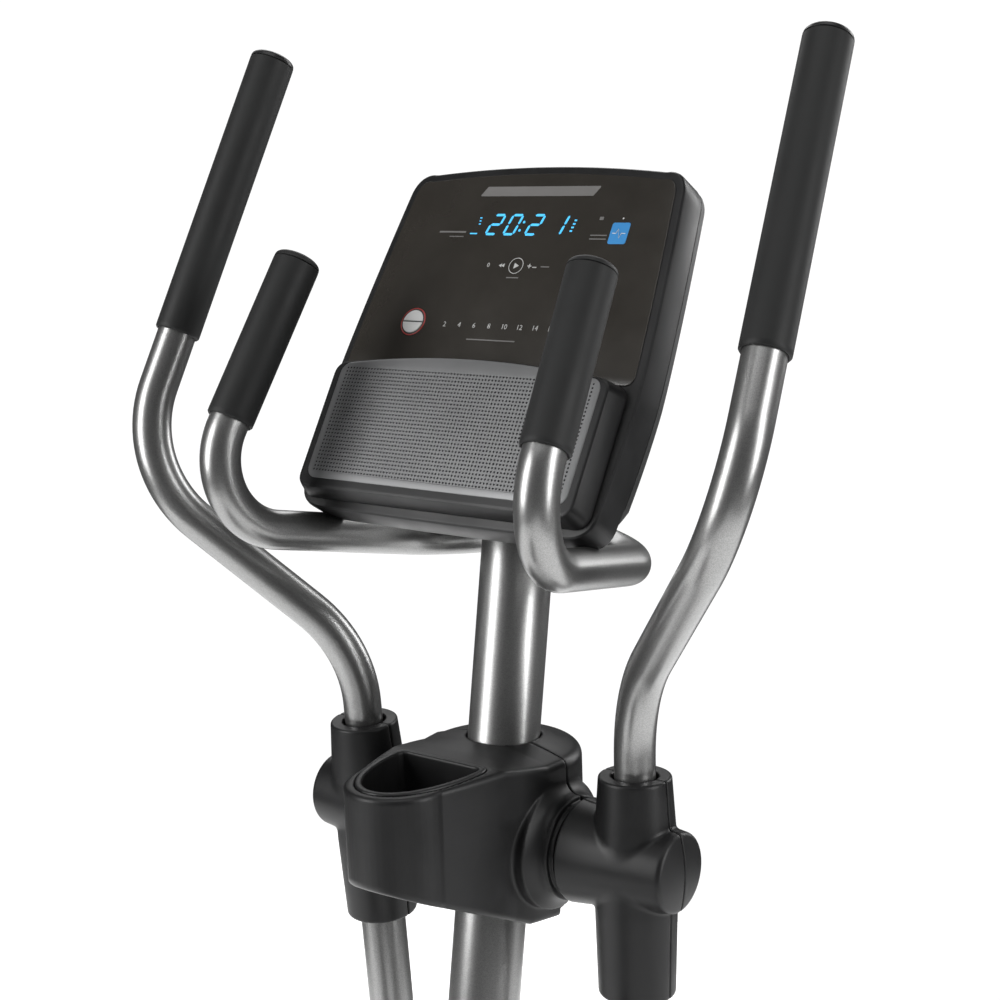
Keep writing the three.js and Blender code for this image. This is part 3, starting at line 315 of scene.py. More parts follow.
def surface(field, low, high, step=1.5):
    """The zero surface of a field(x, y, z), as a closed mesh of quads whose points lie on it."""
    axes = [np.arange(a, b + step, step) for a, b in zip(low, high)]
    x, y, z = np.meshgrid(*axes, indexing="ij")
    inside = field(x, y, z) < 0
    a, b, c = (size - 1 for size in inside.shape)
    count = sum(inside[i:i + a, j:j + b, k:k + c].astype(np.int8)
                for i in (0, 1) for j in (0, 1) for k in (0, 1))
    mixed = (count > 0) & (count < 8)
    index = np.full(mixed.shape, -1)
    index[mixed] = np.arange(mixed.sum())
    points = np.stack([axis[cell] for axis, cell in zip(axes, np.nonzero(mixed))], 1) + step / 2
    faces = []
    for axis in range(3):
        u, v = (axis + 1) % 3, (axis + 2) % 3
        ahead = np.take(inside, range(1, inside.shape[axis]), axis)
        here = np.take(inside, range(inside.shape[axis] - 1), axis)
        crossing = np.nonzero(here != ahead)
        cells = np.stack(crossing, 1)
        outwards = here[crossing]
        quad = []
        for du, dv in ((-1, -1), (0, -1), (0, 0), (-1, 0)):
            corner = cells.copy()
            corner[:, u] += du
            corner[:, v] += dv
            quad.append(index[tuple(corner.T)])
        quad = np.stack(quad, 1)
        quad[~outwards] = quad[~outwards][:, ::-1]
        faces += quad.tolist()
    for _ in range(4):
        points -= newton_step(field, points, step)
    quads = np.array(faces)
    for _ in range(2):
        points = relaxed(points, quads)
        for _ in range(2):
            points -= newton_step(field, points, step)
    return points, [tuple(face) for face in faces]


def newton_step(field, points, step):
    e = 0.05
    value = field(*points.T)
    slopes = [(field(*(points + d).T) - field(*(points - d).T)) / (2 * e) for d in np.eye(3) * e]
    slope = np.stack(slopes, 1)
    shift = slope * (value / np.maximum(np.sum(slope ** 2, 1), 0.05))[:, None]
    length = np.linalg.norm(shift, axis=1, keepdims=True)
    return shift * np.minimum(1, step / np.maximum(length, 1e-9))


def relaxed(points, quads):
    total = np.zeros_like(points)
    weight = np.zeros(len(points))
    for i in range(4):
        for j in (1, 3):
            np.add.at(total, quads[:, i], points[quads[:, (i + j) % 4]])
            np.add.at(weight, quads[:, i], 1)
    return points + 0.5 * (total / np.maximum(weight, 1)[:, None] - points)


# ---- Materials ----
class Paint:
    """A procedural material: its shader, and the nodes that feed it."""

    def __init__(self, name):
        self.made = bpy.data.materials.new(name)
        self.made.use_nodes = True
        self.tree = self.made.node_tree
        self.shader = self.tree.nodes["Principled BSDF"]
        self.where = self.tree.nodes.new("ShaderNodeTexCoord").outputs["Object"]

    def feed(self, node, sockets):
        """Each socket of a node takes a value, or a link from another node's output."""
        for socket, source in sockets.items():
            if isinstance(source, bpy.types.NodeSocket):
                self.tree.links.new(source, node.inputs[socket])
            else:
                node.inputs[socket].default_value = source

    def node(self, kind, sockets):
        made = self.tree.nodes.new(kind)
        self.feed(made, sockets)
        return made

    def noise(self, size, detail=3.0, rough=0.55):
        """Noise whose features are about size millimetres across."""
        sockets = {"Scale": 1 / (size * MM), "Detail": detail, "Roughness": rough, "Vector": self.where}
        return self.node("ShaderNodeTexNoise", sockets).outputs["Fac"]

    def ranged(self, source, low, high, from_low=0.3, from_high=0.7):
        sockets = {"From Min": from_low, "From Max": from_high, "To Min": low, "To Max": high,
                   "Value": source}
        return self.node("ShaderNodeMapRange", sockets).outputs["Result"]

    def tinted(self, source, color, darker, lighter):
        """The colour, drifting between a darker and a lighter tone."""
        mix = self.tree.nodes.new("ShaderNodeMix")
        mix.data_type = "RGBA"
        dark = (*[c * darker for c in color], 1)
        light = (*[min(1, c * lighter) for c in color], 1)
        self.feed(mix, {6: dark, 7: light, 0: source})
        return mix.outputs[2]

    def bumped(self, source, strength, depth, after=None):
        bump = self.node("ShaderNodeBump", {"Strength": strength, "Distance": depth * MM, "Height": source})
        if after:
            self.feed(bump, {"Normal": after})
        self.feed(self.shader, {"Normal": bump.outputs["Normal"]})
        return bump.outputs["Normal"]


def moulded(name, color, roughness, grain=0.6, grain_depth=0.05, spread=0.06, vary=0.25,
            specular=0.5, metallic=0.0, sheen=0.0, coat=0.0):
    """Moulded plastic, rubber, foam or powder coat: a fine grain, and slow drifts of gloss and tone."""
    paint = Paint(name)
    grains, drift = paint.noise(grain, 2.0), paint.noise(55, 4.0, 0.6)
    paint.feed(paint.shader, {
        "Base Color": paint.tinted(paint.ranged(drift, 0, 1), color, 1 - vary, 1 + vary),
        "Roughness": paint.ranged(drift, roughness - spread, roughness + spread),
        "Specular IOR Level": specular, "Metallic": metallic, "Sheen Weight": sheen, "Sheen Roughness": 0.6,
        "Coat Weight": coat, "Coat Roughness": 0.12})
    paint.bumped(grains, 0.6, grain_depth)
    return paint.made


def flake_paint(name, color, roughness=0.33):
    """Metallic paint: fine bright and dark flakes under a satin clear coat, with a little orange peel."""
    paint = Paint(name)
    flakes = paint.node("ShaderNodeTexVoronoi", {"Scale": 1 / (0.5 * MM), "Vector": paint.where})
    tone, gloss, tilt = paint.node("ShaderNodeSeparateColor", {0: flakes.outputs["Color"]}).outputs
    paint.feed(paint.shader, {
        "Base Color": paint.tinted(paint.ranged(tone, 0, 1, 0, 1), color, 0.82, 1.16),
        "Roughness": paint.ranged(gloss, roughness - 0.04, roughness + 0.04, 0, 1),
        "Metallic": 0.9, "Coat Weight": 0.35, "Coat Roughness": 0.16})
    fine = paint.bumped(tilt, 0.08, 0.05)
    paint.bumped(paint.noise(5.0, 2.0), 0.25, 0.05, fine)
    return paint.made


def brushed(name, color, roughness, stretch=(1, 1, 30)):
    """Turned or brushed metal: fine streaks."""
    paint = Paint(name)
    scale = paint.node("ShaderNodeMapping", {"Scale": stretch, "Vector": paint.where})
    sockets = {"Scale": 90, "Detail": 5, "Vector": scale.outputs["Vector"]}
    streaks = paint.node("ShaderNodeTexNoise", sockets).outputs["Fac"]
    paint.feed(paint.shader, {
        "Base Color": paint.tinted(streaks, color, 0.8, 1.15),
        "Roughness": paint.ranged(streaks, roughness - 0.08, roughness + 0.1), "Metallic": 1})
    paint.bumped(streaks, 0.15, 0.03)
    return paint.made


def lit(name, color, strength):
    """A lit display segment, a little uneven along its length."""
    paint = Paint(name)
    cells = paint.noise(1.6, 1.0)
    paint.feed(paint.shader, {
        "Base Color": (*color, 1), "Emission Color": (*color, 1), "Roughness": 0.4,
        "Emission Strength": paint.ranged(cells, strength * 0.8, strength * 1.15)})
    return paint.made


SILVER = flake_paint("silver_flake_paint", (0.32, 0.32, 0.317))
BLACK_PAINT = moulded("black_powder_coat", (0.028, 0.028, 0.03), 0.42, 1.1, 0.06, metallic=0.2)
PLASTIC = moulded("satin_black_plastic", (0.009, 0.009, 0.0094), 0.42, 0.45, 0.035, specular=0.36)
SMOOTH_PLASTIC = moulded("smooth_black_plastic", (0.01, 0.01, 0.0104), 0.36, 0.8, 0.012, specular=0.4)
GREY_EDGE = moulded("grey_black_plastic", (0.03, 0.0305, 0.0305), 0.5, 0.45, 0.03)
FOAM = moulded("black_foam", (0.01, 0.0103, 0.0103), 0.56, 0.9, 0.045, specular=0.34, sheen=0.03)
PANEL = moulded("warm_gloss_panel", (0.031, 0.0275, 0.023), 0.24, 1.5, 0.004, 0.03, 0.1, coat=0.25)
GRILLE = moulded("grey_grille", (0.19, 0.192, 0.194), 0.42, 0.5, 0.02, 0.05, 0.06, metallic=0.35)
# Painted shade: a near-black finish for sheets laid where a groove or hollow lies in shade.
SHADOW = moulded("painted_hollow_shade", (0.006, 0.006, 0.006), 0.9, 0.8, 0.02)
WHITE = moulded("white_button", (0.72, 0.72, 0.71), 0.35, 0.7, 0.008, 0.04, 0.03)
RED = moulded("red_ring", (0.42, 0.035, 0.03), 0.35, 0.7, 0.008, 0.04, 0.08)
PRINT = moulded("pale_print", (0.5, 0.5, 0.49), 0.5, 0.5, 0.004, 0.04, 0.08)
FAINT_PRINT = moulded("faint_print", (0.16, 0.155, 0.15), 0.5, 0.5, 0.004, 0.04, 0.08)
BLUE = moulded("blue_symbol", (0.045, 0.27, 0.62), 0.35, 0.7, 0.004, 0.04, 0.12)
CYAN = lit("cyan_segments", (0.06, 0.43, 0.76), 0.8)
STEEL = brushed("turned_steel", (0.55, 0.56, 0.57), 0.32)
ZINC = brushed("zinc_plate", (0.42, 0.42, 0.43), 0.4, (4, 4, 4))
IRON = brushed("machined_iron", (0.22, 0.22, 0.23), 0.45)
RUBBER = moulded("black_rubber", (0.016, 0.016, 0.016), 0.78, 0.7, 0.08)
BOARD = moulded("green_board", (0.02, 0.13, 0.05), 0.42, 2.5, 0.05)


# ---- Pieces ----
def piece(name, shape, place, material, body, replaces=(), sharp=38):
    """A mesh piece: its shape placed, finished, and riding on a body."""
    points, faces = moved(shape, place)
    mesh = bpy.data.meshes.new(name)
    mesh.from_pydata((np.asarray(points) * MM).tolist(), [], faces)
    mesh.validate()
    mesh.shade_smooth()
    mesh.set_sharp_from_angle(angle=math.radians(sharp))
    made = bpy.data.objects.new(name, mesh)
    bpy.context.scene.collection.objects.link(made)
    made.data.materials.append(material)
    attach(made, body)
    if replaces:
        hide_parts(*replaces)
    return made


def rod(start, end, radius, sides=48, edge=0.8):
    """A round bar with softened ends."""
    length = (Vector(end) - Vector(start)).length
    profile = [(0, 0), (0, radius - edge), (edge * 0.3, radius - edge * 0.3), (edge, radius),
               (length - edge, radius), (length - edge * 0.3, radius - edge * 0.3), (length, radius - edge),
               (length, 0)]
    return moved(lathe(profile, sides), along(start, end))


def rod_x(x0, x1, radius, y=0, z=0, sides=48, edge=0.8):
    return rod((x0, y, z), (x1, y, z), radius, sides, edge)


def block(x0, x1, y0, y1, z0, z1, corner=3.0, edge=1.0):
    """A block with rounded upright corners and softened top and bottom edges."""
    outline = rounded([(x0, y0, corner), (x1, y0, corner), (x1, y1, corner), (x0, y1, corner)])
    return slab(outline, z0, z1, edge)


def hex_nut(x0, x1, across, y=0, z=0):
    """A hexagonal nut or bolt head that stands along +X."""
    radius = across / math.sqrt(3)
    corners = [(radius * math.cos(a), radius * math.sin(a), 0.6)
               for a in [math.pi / 3 * i for i in range(6)]]
    return moved(standing(slab(rounded(corners), x0, x1, 1.0)), at(0, y, z))


def weld_bead(upright_radius, cross_radius, x, z, below=True):
    """The bead where an upright tube meets a tube that lies along X."""
    angles = [2 * math.pi * i / 60 for i in range(61)]
    points = []
    for a in angles:
        px, py = upright_radius * math.cos(a), upright_radius * math.sin(a)
        rise = math.sqrt(max(cross_radius ** 2 - py ** 2, 1))
        points.append((x + px, py, z + rise if below else z - rise))
    return sweep(points, 2.2, 8)


# ---- Swing arms ----
HANDLE_CORNERS = [(148, 0, 40), (148, 0, 148), (304.2, -106.6, 328.8), (271.6, 97.0, 674.0)]
HANDLE_BENDS = [127.5, 112]
GRIP_FOOT, GRIP_TOP = Vector((293.8, -41.3, 439.5)), Vector((272, 94.6, 670.1))
LEG_LENGTH = (joint_point("right_pedal_pivot") - PIVOT - Vector((ARM_X, 0, 0))).length


def grip_profile(length, bore, radius):
    """A foam sleeve: a softly rolled lower edge, and an upper edge that meets its cap."""
    return [(0.4, bore), (0, bore + 1.2), (0.5, radius - 0.9), (1.6, radius - 0.1), (5, radius),
            (length * 0.5, radius), (length - 4, radius), (length - 0.9, radius),
            (length - 0.2, radius - 0.6), (length - 0.2, bore)]


def dome_profile(radius, rise):
    """A domed cap with a plug below it, and a fine groove where it meets the grip."""
    shoulder = [(-8, 0), (-8, radius - 3), (0.3, radius - 2.4), (0.35, radius - 0.5), (0.8, radius - 0.1)]
    angles = [math.pi / 2 * i / 12 for i in range(12)]
    crown = [(1.6 + (rise - 1.6) * math.sin(a), (radius - 0.3) * math.cos(a) ** 0.72) for a in angles]
    return shoulder + crown + [(rise, 0)]


def cover_field(half):
    """One half of a pivot cover: an upright tapered sleeve crossed by a tapered hub."""
    slope_hub = 11.8 / 102.5

    def field(x, y, z):
        sleeve_reach = np.hypot(x - 148, y)
        sleeve = sleeve_reach - np.interp(z, (-115, -40, 20, 77), (33, 35, 35, 31))
        sleeve = smooth_common(sleeve, np.maximum(z - 77, -115 - z), 2.5)
        hub_reach = np.hypot(y, z)
        hub = (hub_reach - 45.5 + (x - 94.5) * slope_hub) * 0.993
        crown = x - 196.8 + 4.5 * (hub_reach / 34) ** 2
        hub = smooth_common(smooth_common(hub, crown, 3.5), 94.8 - x, 1.5)
        body = smooth_union(sleeve, hub, 3)
        top_bore = np.maximum(sleeve_reach - BAR_RADIUS - 2.3, 60 - z)
        low_bore = np.maximum(sleeve_reach - LEG_RADIUS - 1.8, z + 98)
        body = smooth_cut(smooth_cut(body, top_bore, 2.0), low_bore, 2.0)
        return smooth_common(body, 0.42 - y * half, 1.3)

    return field


for name, side in SIDES:
    body = f"{name}_arm"
    place = arm_place(name) @ mirror(side)
    handlebar = sweep(smooth_path(HANDLE_CORNERS, HANDLE_BENDS), BAR_RADIUS)
    piece(f"{name}_handlebar_tube", handlebar, place, SILVER, body, [f"{name}_handlebar"])
    grip = moved(lathe(grip_profile((GRIP_TOP - GRIP_FOOT).length, 18.0, GRIP_RADIUS), 72),
                 along(GRIP_FOOT, GRIP_TOP))
    piece(f"{name}_foam_grip", grip, place, FOAM, body, [f"{name}_grip"])
    cap = moved(lathe(dome_profile(GRIP_RADIUS, 8.0), 72), along(GRIP_TOP, GRIP_TOP * 2 - GRIP_FOOT))
    piece(f"{name}_grip_end", cap, place, SMOOTH_PLASTIC, body, [f"{name}_grip_cap"])
    for part, half in (("front", 1), ("rear", -1)):
        low, high = ((90, -2, -118), (200, 49, 80)) if half > 0 else ((90, -49, -118), (200, 2, 80))
        shell = surface(cover_field(half), low, high, 1.3)
        piece(f"{name}_pivot_cover_{part}", shell, place, PLASTIC, body, [f"{name}_cover_{part}"],
              70)
    leg = joined(
        rod((ARM_X, 0, -60), (ARM_X, 0, -LEG_LENGTH + 10), LEG_RADIUS, 56),
        rod_x(ARM_X - 30, ARM_X + 30, 25, 0, -LEG_LENGTH, 64),
        weld_bead(LEG_RADIUS, 25, ARM_X, -LEG_LENGTH))
    piece(f"{name}_leg_tube", leg, place, SILVER, body, [f"{name}_leg"])
    bush_spans = ((-31.6, -30.1), (30.1, 31.6))
    bushes = joined(*[rod_x(ARM_X + a, ARM_X + b, 18.5, 0, -LEG_LENGTH) for a, b in bush_spans])
    piece(f"{name}_leg_bushes", bushes, place, SMOOTH_PLASTIC, body, ())

# ---- Mast, its cover and the cup holder ----


def on_mast(z):
    return Vector((0, 0.6 + MAST_LEAN * z, z))


RAIL_TOP = 116.4
MAST_TOP = 350
mast_bottom = RAIL_TOP - PIVOT.z + 1
mast = rod(on_mast(mast_bottom), on_mast(MAST_TOP), MAST_RADIUS, 80, 1.0)
piece("mast_tube", mast, ON_PIVOT, SILVER, "frame", ["mast"])
collar = moved(lathe([(0, 33), (0, 39), (3, 41), (10, 40), (14, 35.5), (15, 33)], 64),
               along(on_mast(mast_bottom + 0.5), on_mast(0)))
piece("mast_foot_weld", collar, ON_PIVOT, BLACK_PAINT, "frame", ())


def bezier(a, b, c, d, steps=14):
    t = np.linspace(0, 1, steps + 1)[:, None]
    a, b, c, d = (np.array(p, float) for p in (a, b, c, d))
    return a * (1 - t) ** 3 + 3 * b * t * (1 - t) ** 2 + 3 * c * t ** 2 * (1 - t) + d * t ** 3


def mirrored_outline(right):
    """A right-hand run of points from top to bottom, closed by its mirror image, anticlockwise."""
    right = np.asarray(right, float)
    return np.concatenate([right[::-1], right * (-1, 1)])


NOSE_Y, NOSE_RADIUS, SHOULDER, SEAM_Y, HALF_SEAM = -128, 46, 74, 8, 0.45
side_run = bezier((SHOULDER, SEAM_Y + 16), (SHOULDER - 2, -40), (56, -95), (NOSE_RADIUS, NOSE_Y))
nose_run = [(NOSE_RADIUS * math.cos(a), NOSE_Y - NOSE_RADIUS * math.sin(a))
            for a in np.linspace(0, math.pi / 2, 14)[1:]]
COVER_PLAN = Outline(mirrored_outline(np.concatenate([side_run, nose_run])))
COVER_SIDE = Outline([(40, -73), (8, -72), (-30, -67), (-178, 5), (-178, 83.6), (-45, 83.6), (8, 85.5),
                      (40, 85.5)])
CUP_HALF, CUP_FLAT, CUP_TIP = 43, -72, -160
cup_flat = [(0, CUP_FLAT), (CUP_HALF - 6, CUP_FLAT), (CUP_HALF - 1.5, CUP_FLAT - 1.5)]
cup_wall = bezier((CUP_HALF, CUP_FLAT - 6), (CUP_HALF, CUP_FLAT - 42), (29, CUP_TIP), (0, CUP_TIP))
CUP_PLAN = Outline(mirrored_outline(np.concatenate([cup_flat, cup_wall])), 20)


def mast_hole(x, y, z):
    """The hole in the cover's top for the mast, with a narrow gap round the tube."""
    reach = np.hypot(x, (y - 0.6 - MAST_LEAN * z) * 0.984)
    return np.maximum(reach - MAST_RADIUS - 1.4, 40 - z)


def stub_field(x, y, z):
    """The flange round the hub's root, swept in to the stub."""
    reach = np.hypot(y, z)
    away = np.abs(x)
    sweep_in = 45.6 + 11.5 * np.clip((84 - away) / 13, 0, 1) ** 2.2
    flange = np.maximum((reach - sweep_in) * 0.8, away - 88)
    spigot = np.maximum(reach - 41, away - 91.4)
    return np.minimum(smooth_common(flange, away - 87.8, 1.5), spigot)


def rear_cover(x, y, z):
    draft = 1 + 0.17 * np.clip((40 - z) / 110, 0, 1) * np.clip((y + 150) / 100, 0, 1)
    crown = 0.0022 * x ** 2 * np.clip((y + 64) / 50, 0, 1) * np.clip(z / 40, 0, 1)
    body = smooth_common(COVER_PLAN(x * draft, y), COVER_SIDE(y, z + crown), 5)
    body = smooth_union(body, stub_field(x, y, z), 2.5)
    body = smooth_cut(body, mast_hole(x, y, z), 1.5)
    seat = np.maximum(CUP_PLAN(x, y) - 6.6, 1 - z)
    return smooth_common(smooth_cut(body, seat, 0.8), y - SEAM_Y + HALF_SEAM, 1.4)


def front_cover(x, y, z):
    reach = np.hypot(x, y - SEAM_Y)
    height = np.where(z > -5, z - 86 + 0.0026 * reach ** 2, -71 - z)
    body = smooth_common(reach - 73 + 0.00108 * np.minimum(z - 45, 0) ** 2, height, 8)
    body = smooth_union(body, stub_field(x, y, z), 4)
    body = smooth_cut(body, mast_hole(x, y, z), 1.5)
    return smooth_common(body, SEAM_Y + HALF_SEAM - y, 1.4)


def cup(x, y, z):
    plan = CUP_PLAN(x, y)
    ring = smooth_common(plan - 6.0, np.maximum(z - 85.3, 4 - z), 1.6)
    return smooth_cut(ring, np.maximum(plan, 8.4 - z), 2.2)


MOULDINGS = (
    ("mast_cover_user_side", "mast_cover_rear", rear_cover, (-93, -178, -86), (93, 10, 90), 1.6),
    ("mast_cover_far_side", "mast_cover_front", front_cover, (-93, 6, -86), (93, 86, 90), 1.6),
    ("cup_insert", "cup_liner", cup, (-53, -170, 1), (53, -62, 89), 1.3),
)
for name, node, field, low, high, step in MOULDINGS:
    piece(name, surface(field, low, high, step), ON_PIVOT, PLASTIC, "frame", [node], 70)

# ---- Fixed handlebar, its grips and its clamp ----
FIXED_HALF = [(155.4, -53.6, 499), (172.1, -187.5, 292.9), (109.5, 83, 236)]
FIXED_BENDS = [63, 74, 200, 74, 63]
FIXED_FOOT, FIXED_TOP = Vector((165.5, -134.6, 374.3)), Vector((155.4, -53.6, 499))
fixed_corners = FIXED_HALF + [(0, 103, 255)] + [(-x, y, z) for x, y, z in reversed(FIXED_HALF)]
fixed_bar = sweep(smooth_path(fixed_corners, FIXED_BENDS), BAR_RADIUS)
piece("fixed_bar_tube", fixed_bar, ON_PIVOT, SILVER, "frame", ["fixed_handlebar"])
fixed_length = (FIXED_TOP - FIXED_FOOT).length
for name, side in SIDES:
    place = ON_PIVOT @ mirror(side) @ along(FIXED_FOOT, FIXED_TOP)
    sleeve = lathe(grip_profile(fixed_length + 1, 18.0, GRIP_RADIUS), 72)
    dome = moved(lathe(dome_profile(GRIP_RADIUS, 8), 72), at(0, 0, fixed_length + 1))
    piece(f"fixed_foam_grip_{name}", joined(sleeve, dome), place, FOAM, "frame", [f"fixed_grip_{name}"])

clamp = joined(block(-38, 38, 56, 124, 243, 259, 8, 2.5), block(-30, 30, 70, 126, 228, 282, 10, 3))
bolts = joined(*[rod((x, 90, 240.5), (x, 90, 243.5), 6.5, 6, 0.8) for x in (-33, 33)])
piece("bar_clamp", clamp, ON_PIVOT, BLACK_PAINT, "frame", ["handlebar_clamp"])
piece("bar_clamp_bolts", bolts, ON_PIVOT, ZINC, "frame", ())

# ---- Console ----
TOP_Y, FOOT_Y = 16, -320


def console_width(y):
    if y > -195:
        return 163 - 16 * ((y + 195) / 188) ** 1.3
    return 163 - 5.5 * ((-195 - y) / 103) ** 2


def console_outline(corner=25):
    top_start, foot_start = TOP_Y - 6 - corner, FOOT_Y + corner
    right = [(console_width(y), y) for y in np.linspace(foot_start, top_start, 36)]
    wide_top, wide_foot = console_width(top_start), console_width(foot_start)
    top_edge = [(x, TOP_Y - 9.5 * (x / 147) ** 2) for x in np.linspace(wide_top - corner, 0, 16)]
    foot_edge = [(x, FOOT_Y + 1.5 * (x / 158) ** 2) for x in np.linspace(0, wide_foot - corner, 12)]
    upper = bezier(right[-1], (wide_top - 1, top_start + corner * 0.62),
                   (wide_top - corner * 0.38, top_edge[0][1] + 2.5), top_edge[0], 9)[1:-1]
    lower = bezier(foot_edge[-1], (wide_foot - corner * 0.42, FOOT_Y + 1.4),
                   (wide_foot + 0.3, foot_start - corner * 0.6), right[0], 9)[1:-1]
    half = np.concatenate([foot_edge, lower, right, upper, top_edge])
    return np.concatenate([half, (half[1:-1] * (-1, 1))[::-1]])


CONSOLE = console_outline()
BEVEL_START, BEVEL_RUN, BEVEL_RISE = -280, 40, 22


def bevelled(shape):
    """The back shell's lower edge rises, to clear the fixed handlebar."""
    points, faces = shape
    lift = BEVEL_RISE * np.clip((BEVEL_START - points[:, 1]) / BEVEL_RUN, 0, 1)
    deep = points[:, 2] < -30
    points[deep, 2] += lift[deep]
    return points, faces


back_shell = bevelled(stacked(CONSOLE, ((10, -42), (4.5, -41.2), (1.5, -39), (0.6, -36), (0.6, -31.6))))
piece("console_back_shell", back_shell, ON_CONSOLE, GREY_EDGE, "frame", ["console_back"],
      30)
front_levels = ((1.4, -31.2), (0.3, -30.4), (0, -29), (0, -4), (0.5, -1.8), (1.8, -0.4), (3.6, 0))
front_shell = stacked(CONSOLE, front_levels)
piece("console_front_shell", front_shell, ON_CONSOLE, PLASTIC, "frame", ["console_fascia"],
      30)

PANEL_LOW, PANEL_INSET, PANEL_CORNER = -186, 8.5, 8
panel = inset(CONSOLE, PANEL_INSET)
panel = panel[panel[:, 1] > PANEL_LOW + PANEL_CORNER]
order = np.argsort(np.arctan2(panel[:, 1] + 90, panel[:, 0]))
panel = panel[order]
start = int(np.argmin(np.where(panel[:, 0] > 0, panel[:, 1], 1e9)))
panel = np.roll(panel, -start, 0)
corner_x, corner_y = panel[0][0] - PANEL_CORNER, PANEL_LOW + PANEL_CORNER
low_corner = [(corner_x + PANEL_CORNER * math.sin(a), corner_y - PANEL_CORNER * math.cos(a))
              for a in np.linspace(0, math.pi / 2, 7)]
panel = np.concatenate([[(-x, y) for x, y in low_corner][::-1], low_corner, panel])
# A dark sheet just wider than the overlay: painted shade for the groove round its edge.
groove = slab(inset(panel, -0.9), 0.02, 0.12, 0.04)
piece("overlay_groove_shade", groove, ON_CONSOLE, SHADOW, "frame", ())
piece("overlay_panel", slab(panel, 0.0, 0.75, 0.35), ON_CONSOLE, PANEL, "frame", ["console_overlay"],
      30)

# The speaker shelf stands proud of the face, with sloping side walls.
SHELF_LOW, SHELF_HIGH, SHELF_HALF, SHELF_DEPTH = -311, -178, 152, 20


def shelf_outline(half, low, high, sag, corner):
    """A wide shape with a curved top edge that falls by sag at its corners."""
    def top(x):
        return high - sag * (x / half) ** 2
    run = [(x, top(x)) for x in np.linspace(half - corner, -half + corner, 30)]
    a = np.linspace(0, math.pi / 2, 8)[1:-1]
    upper_right = [(half - corner + corner * math.cos(t),
                    top(half - corner) - corner + corner * math.sin(t)) for t in a]
    lower_right = [(half - corner + corner * math.sin(t), low + corner - corner * math.cos(t)) for t in a]
    wall = [(half, low + corner), (half, top(half - corner) - corner)]
    right = [(half - corner, low)] + lower_right + wall + upper_right
    left = [(-x, y) for x, y in right][::-1]
    return np.array(right + run + left)


shelf_base = shelf_outline(SHELF_HALF, SHELF_LOW, SHELF_HIGH, 11, 13)
shelf_top = shelf_outline(SHELF_HALF - 5, SHELF_LOW + 3, SHELF_HIGH - 0.5, 11, 12)
shelf_rings = [(shelf_base, 0, 0.1), (shelf_base, 0, 4), (shelf_top, 0.2, SHELF_DEPTH - 2.2),
               (shelf_top, 0.9, SHELF_DEPTH - 0.8), (shelf_top, 2.2, SHELF_DEPTH - 0.1),
               (shelf_top, 3.6, SHELF_DEPTH)]
shelf = loft([np.insert(inset(ring, grow), 2, height, axis=1) for ring, grow, height in shelf_rings])
piece("speaker_shelf", shelf, ON_CONSOLE, PLASTIC, "frame", ["console_shelf"], 30)

GRILLE_HALF, GRILLE_LOW, GRILLE_HIGH = 139, -299, -180
PITCH, HOLE_RADIUS = 3.45, 0.98


def dished(points):
    """The grille is gently convex across its width and its height."""
    x, y = points[:, 0], points[:, 1]
    return 20.3 + 1.55 * (1 - (x / GRILLE_HALF) ** 2) * (1 - ((y + 240) / 75) ** 2 * 0.6)


def grille_shape():
    """A sheet with rows of real holes, and plain margins up to a rounded edge."""
    plan = shelf_outline(GRILLE_HALF, GRILLE_LOW, GRILLE_HIGH, 10.5, 11)
    columns = np.arange(-38, 39) * PITCH
    rows = GRILLE_LOW + 8 + PITCH * np.arange(29)
    x0, x1 = columns[0] - PITCH / 2, columns[-1] + PITCH / 2
    y0, y1 = rows[0] - PITCH / 2, rows[-1] + PITCH / 2
    ring = 8
    angles = [2 * math.pi * (i + 0.5) / ring - math.pi for i in range(ring)]
    unit = np.array([(-1, -1), (0, -1), (1, -1), (1, 0), (1, 1), (0, 1), (-1, 1), (-1, 0)]) * PITCH / 2
    hole = np.array([(math.cos(a), math.sin(a)) for a in np.arctan2(unit[:, 1], unit[:, 0])]) * HOLE_RADIUS
    points, faces = [], []
    for cy in rows:
        for cx in columns:
            base = len(points)
            points += [(cx + u, cy + v, 0) for u, v in unit]
            points += [(cx + u, cy + v, 0) for u, v in hole]
            points += [(cx + u, cy + v, -1.2) for u, v in hole]
            for i in range(ring):
                j = (i + 1) % ring
                faces.append((base + i, base + j, base + ring + j, base + ring + i))
                faces.append((base + ring + i, base + ring + j, base + 2 * ring + j, base + 2 * ring + i))
    points = np.array(points)
    points[:, 2] += dished(points)
    # The margin: from the field of holes out to the rounded edge, then down its side.
    count = len(plan)
    centre = np.array([0, (y0 + y1) / 2])
    offset = plan - centre
    reach = np.maximum(np.abs(offset[:, 0]) / ((x1 - x0) / 2), np.abs(offset[:, 1]) / ((y1 - y0) / 2))
    inner = centre + offset / reach[:, None]
    rings = []
    for outline, drop in ((inner, 0), (inset(plan, 1.0), 0), (inset(plan, 0.3), 0.35), (plan, 1.0),
                          (plan, 1.9)):
        ring_points = np.column_stack([outline, np.zeros(count)])
        ring_points[:, 2] = dished(ring_points) - drop
        rings.append(ring_points[::-1])
    margin = loft(rings, False, False)
    return joined((points, faces), margin)


piece("speaker_grille_sheet", grille_shape(), ON_CONSOLE, GRILLE, "frame", ["speaker_grille"], 40)
# A dark sheet under the grille: painted shade for the hollow seen through its holes.
hollow_shade_outline = shelf_outline(GRILLE_HALF - 3, GRILLE_LOW + 3, GRILLE_HIGH - 3, 10.5, 10)
piece("grille_hollow_shade", slab(hollow_shade_outline, 20.02, 20.12, 0.02), ON_CONSOLE, SHADOW, "frame", ())

# ---- Printed marks and lit digits on the overlay ----
PRINT_Z = 0.78


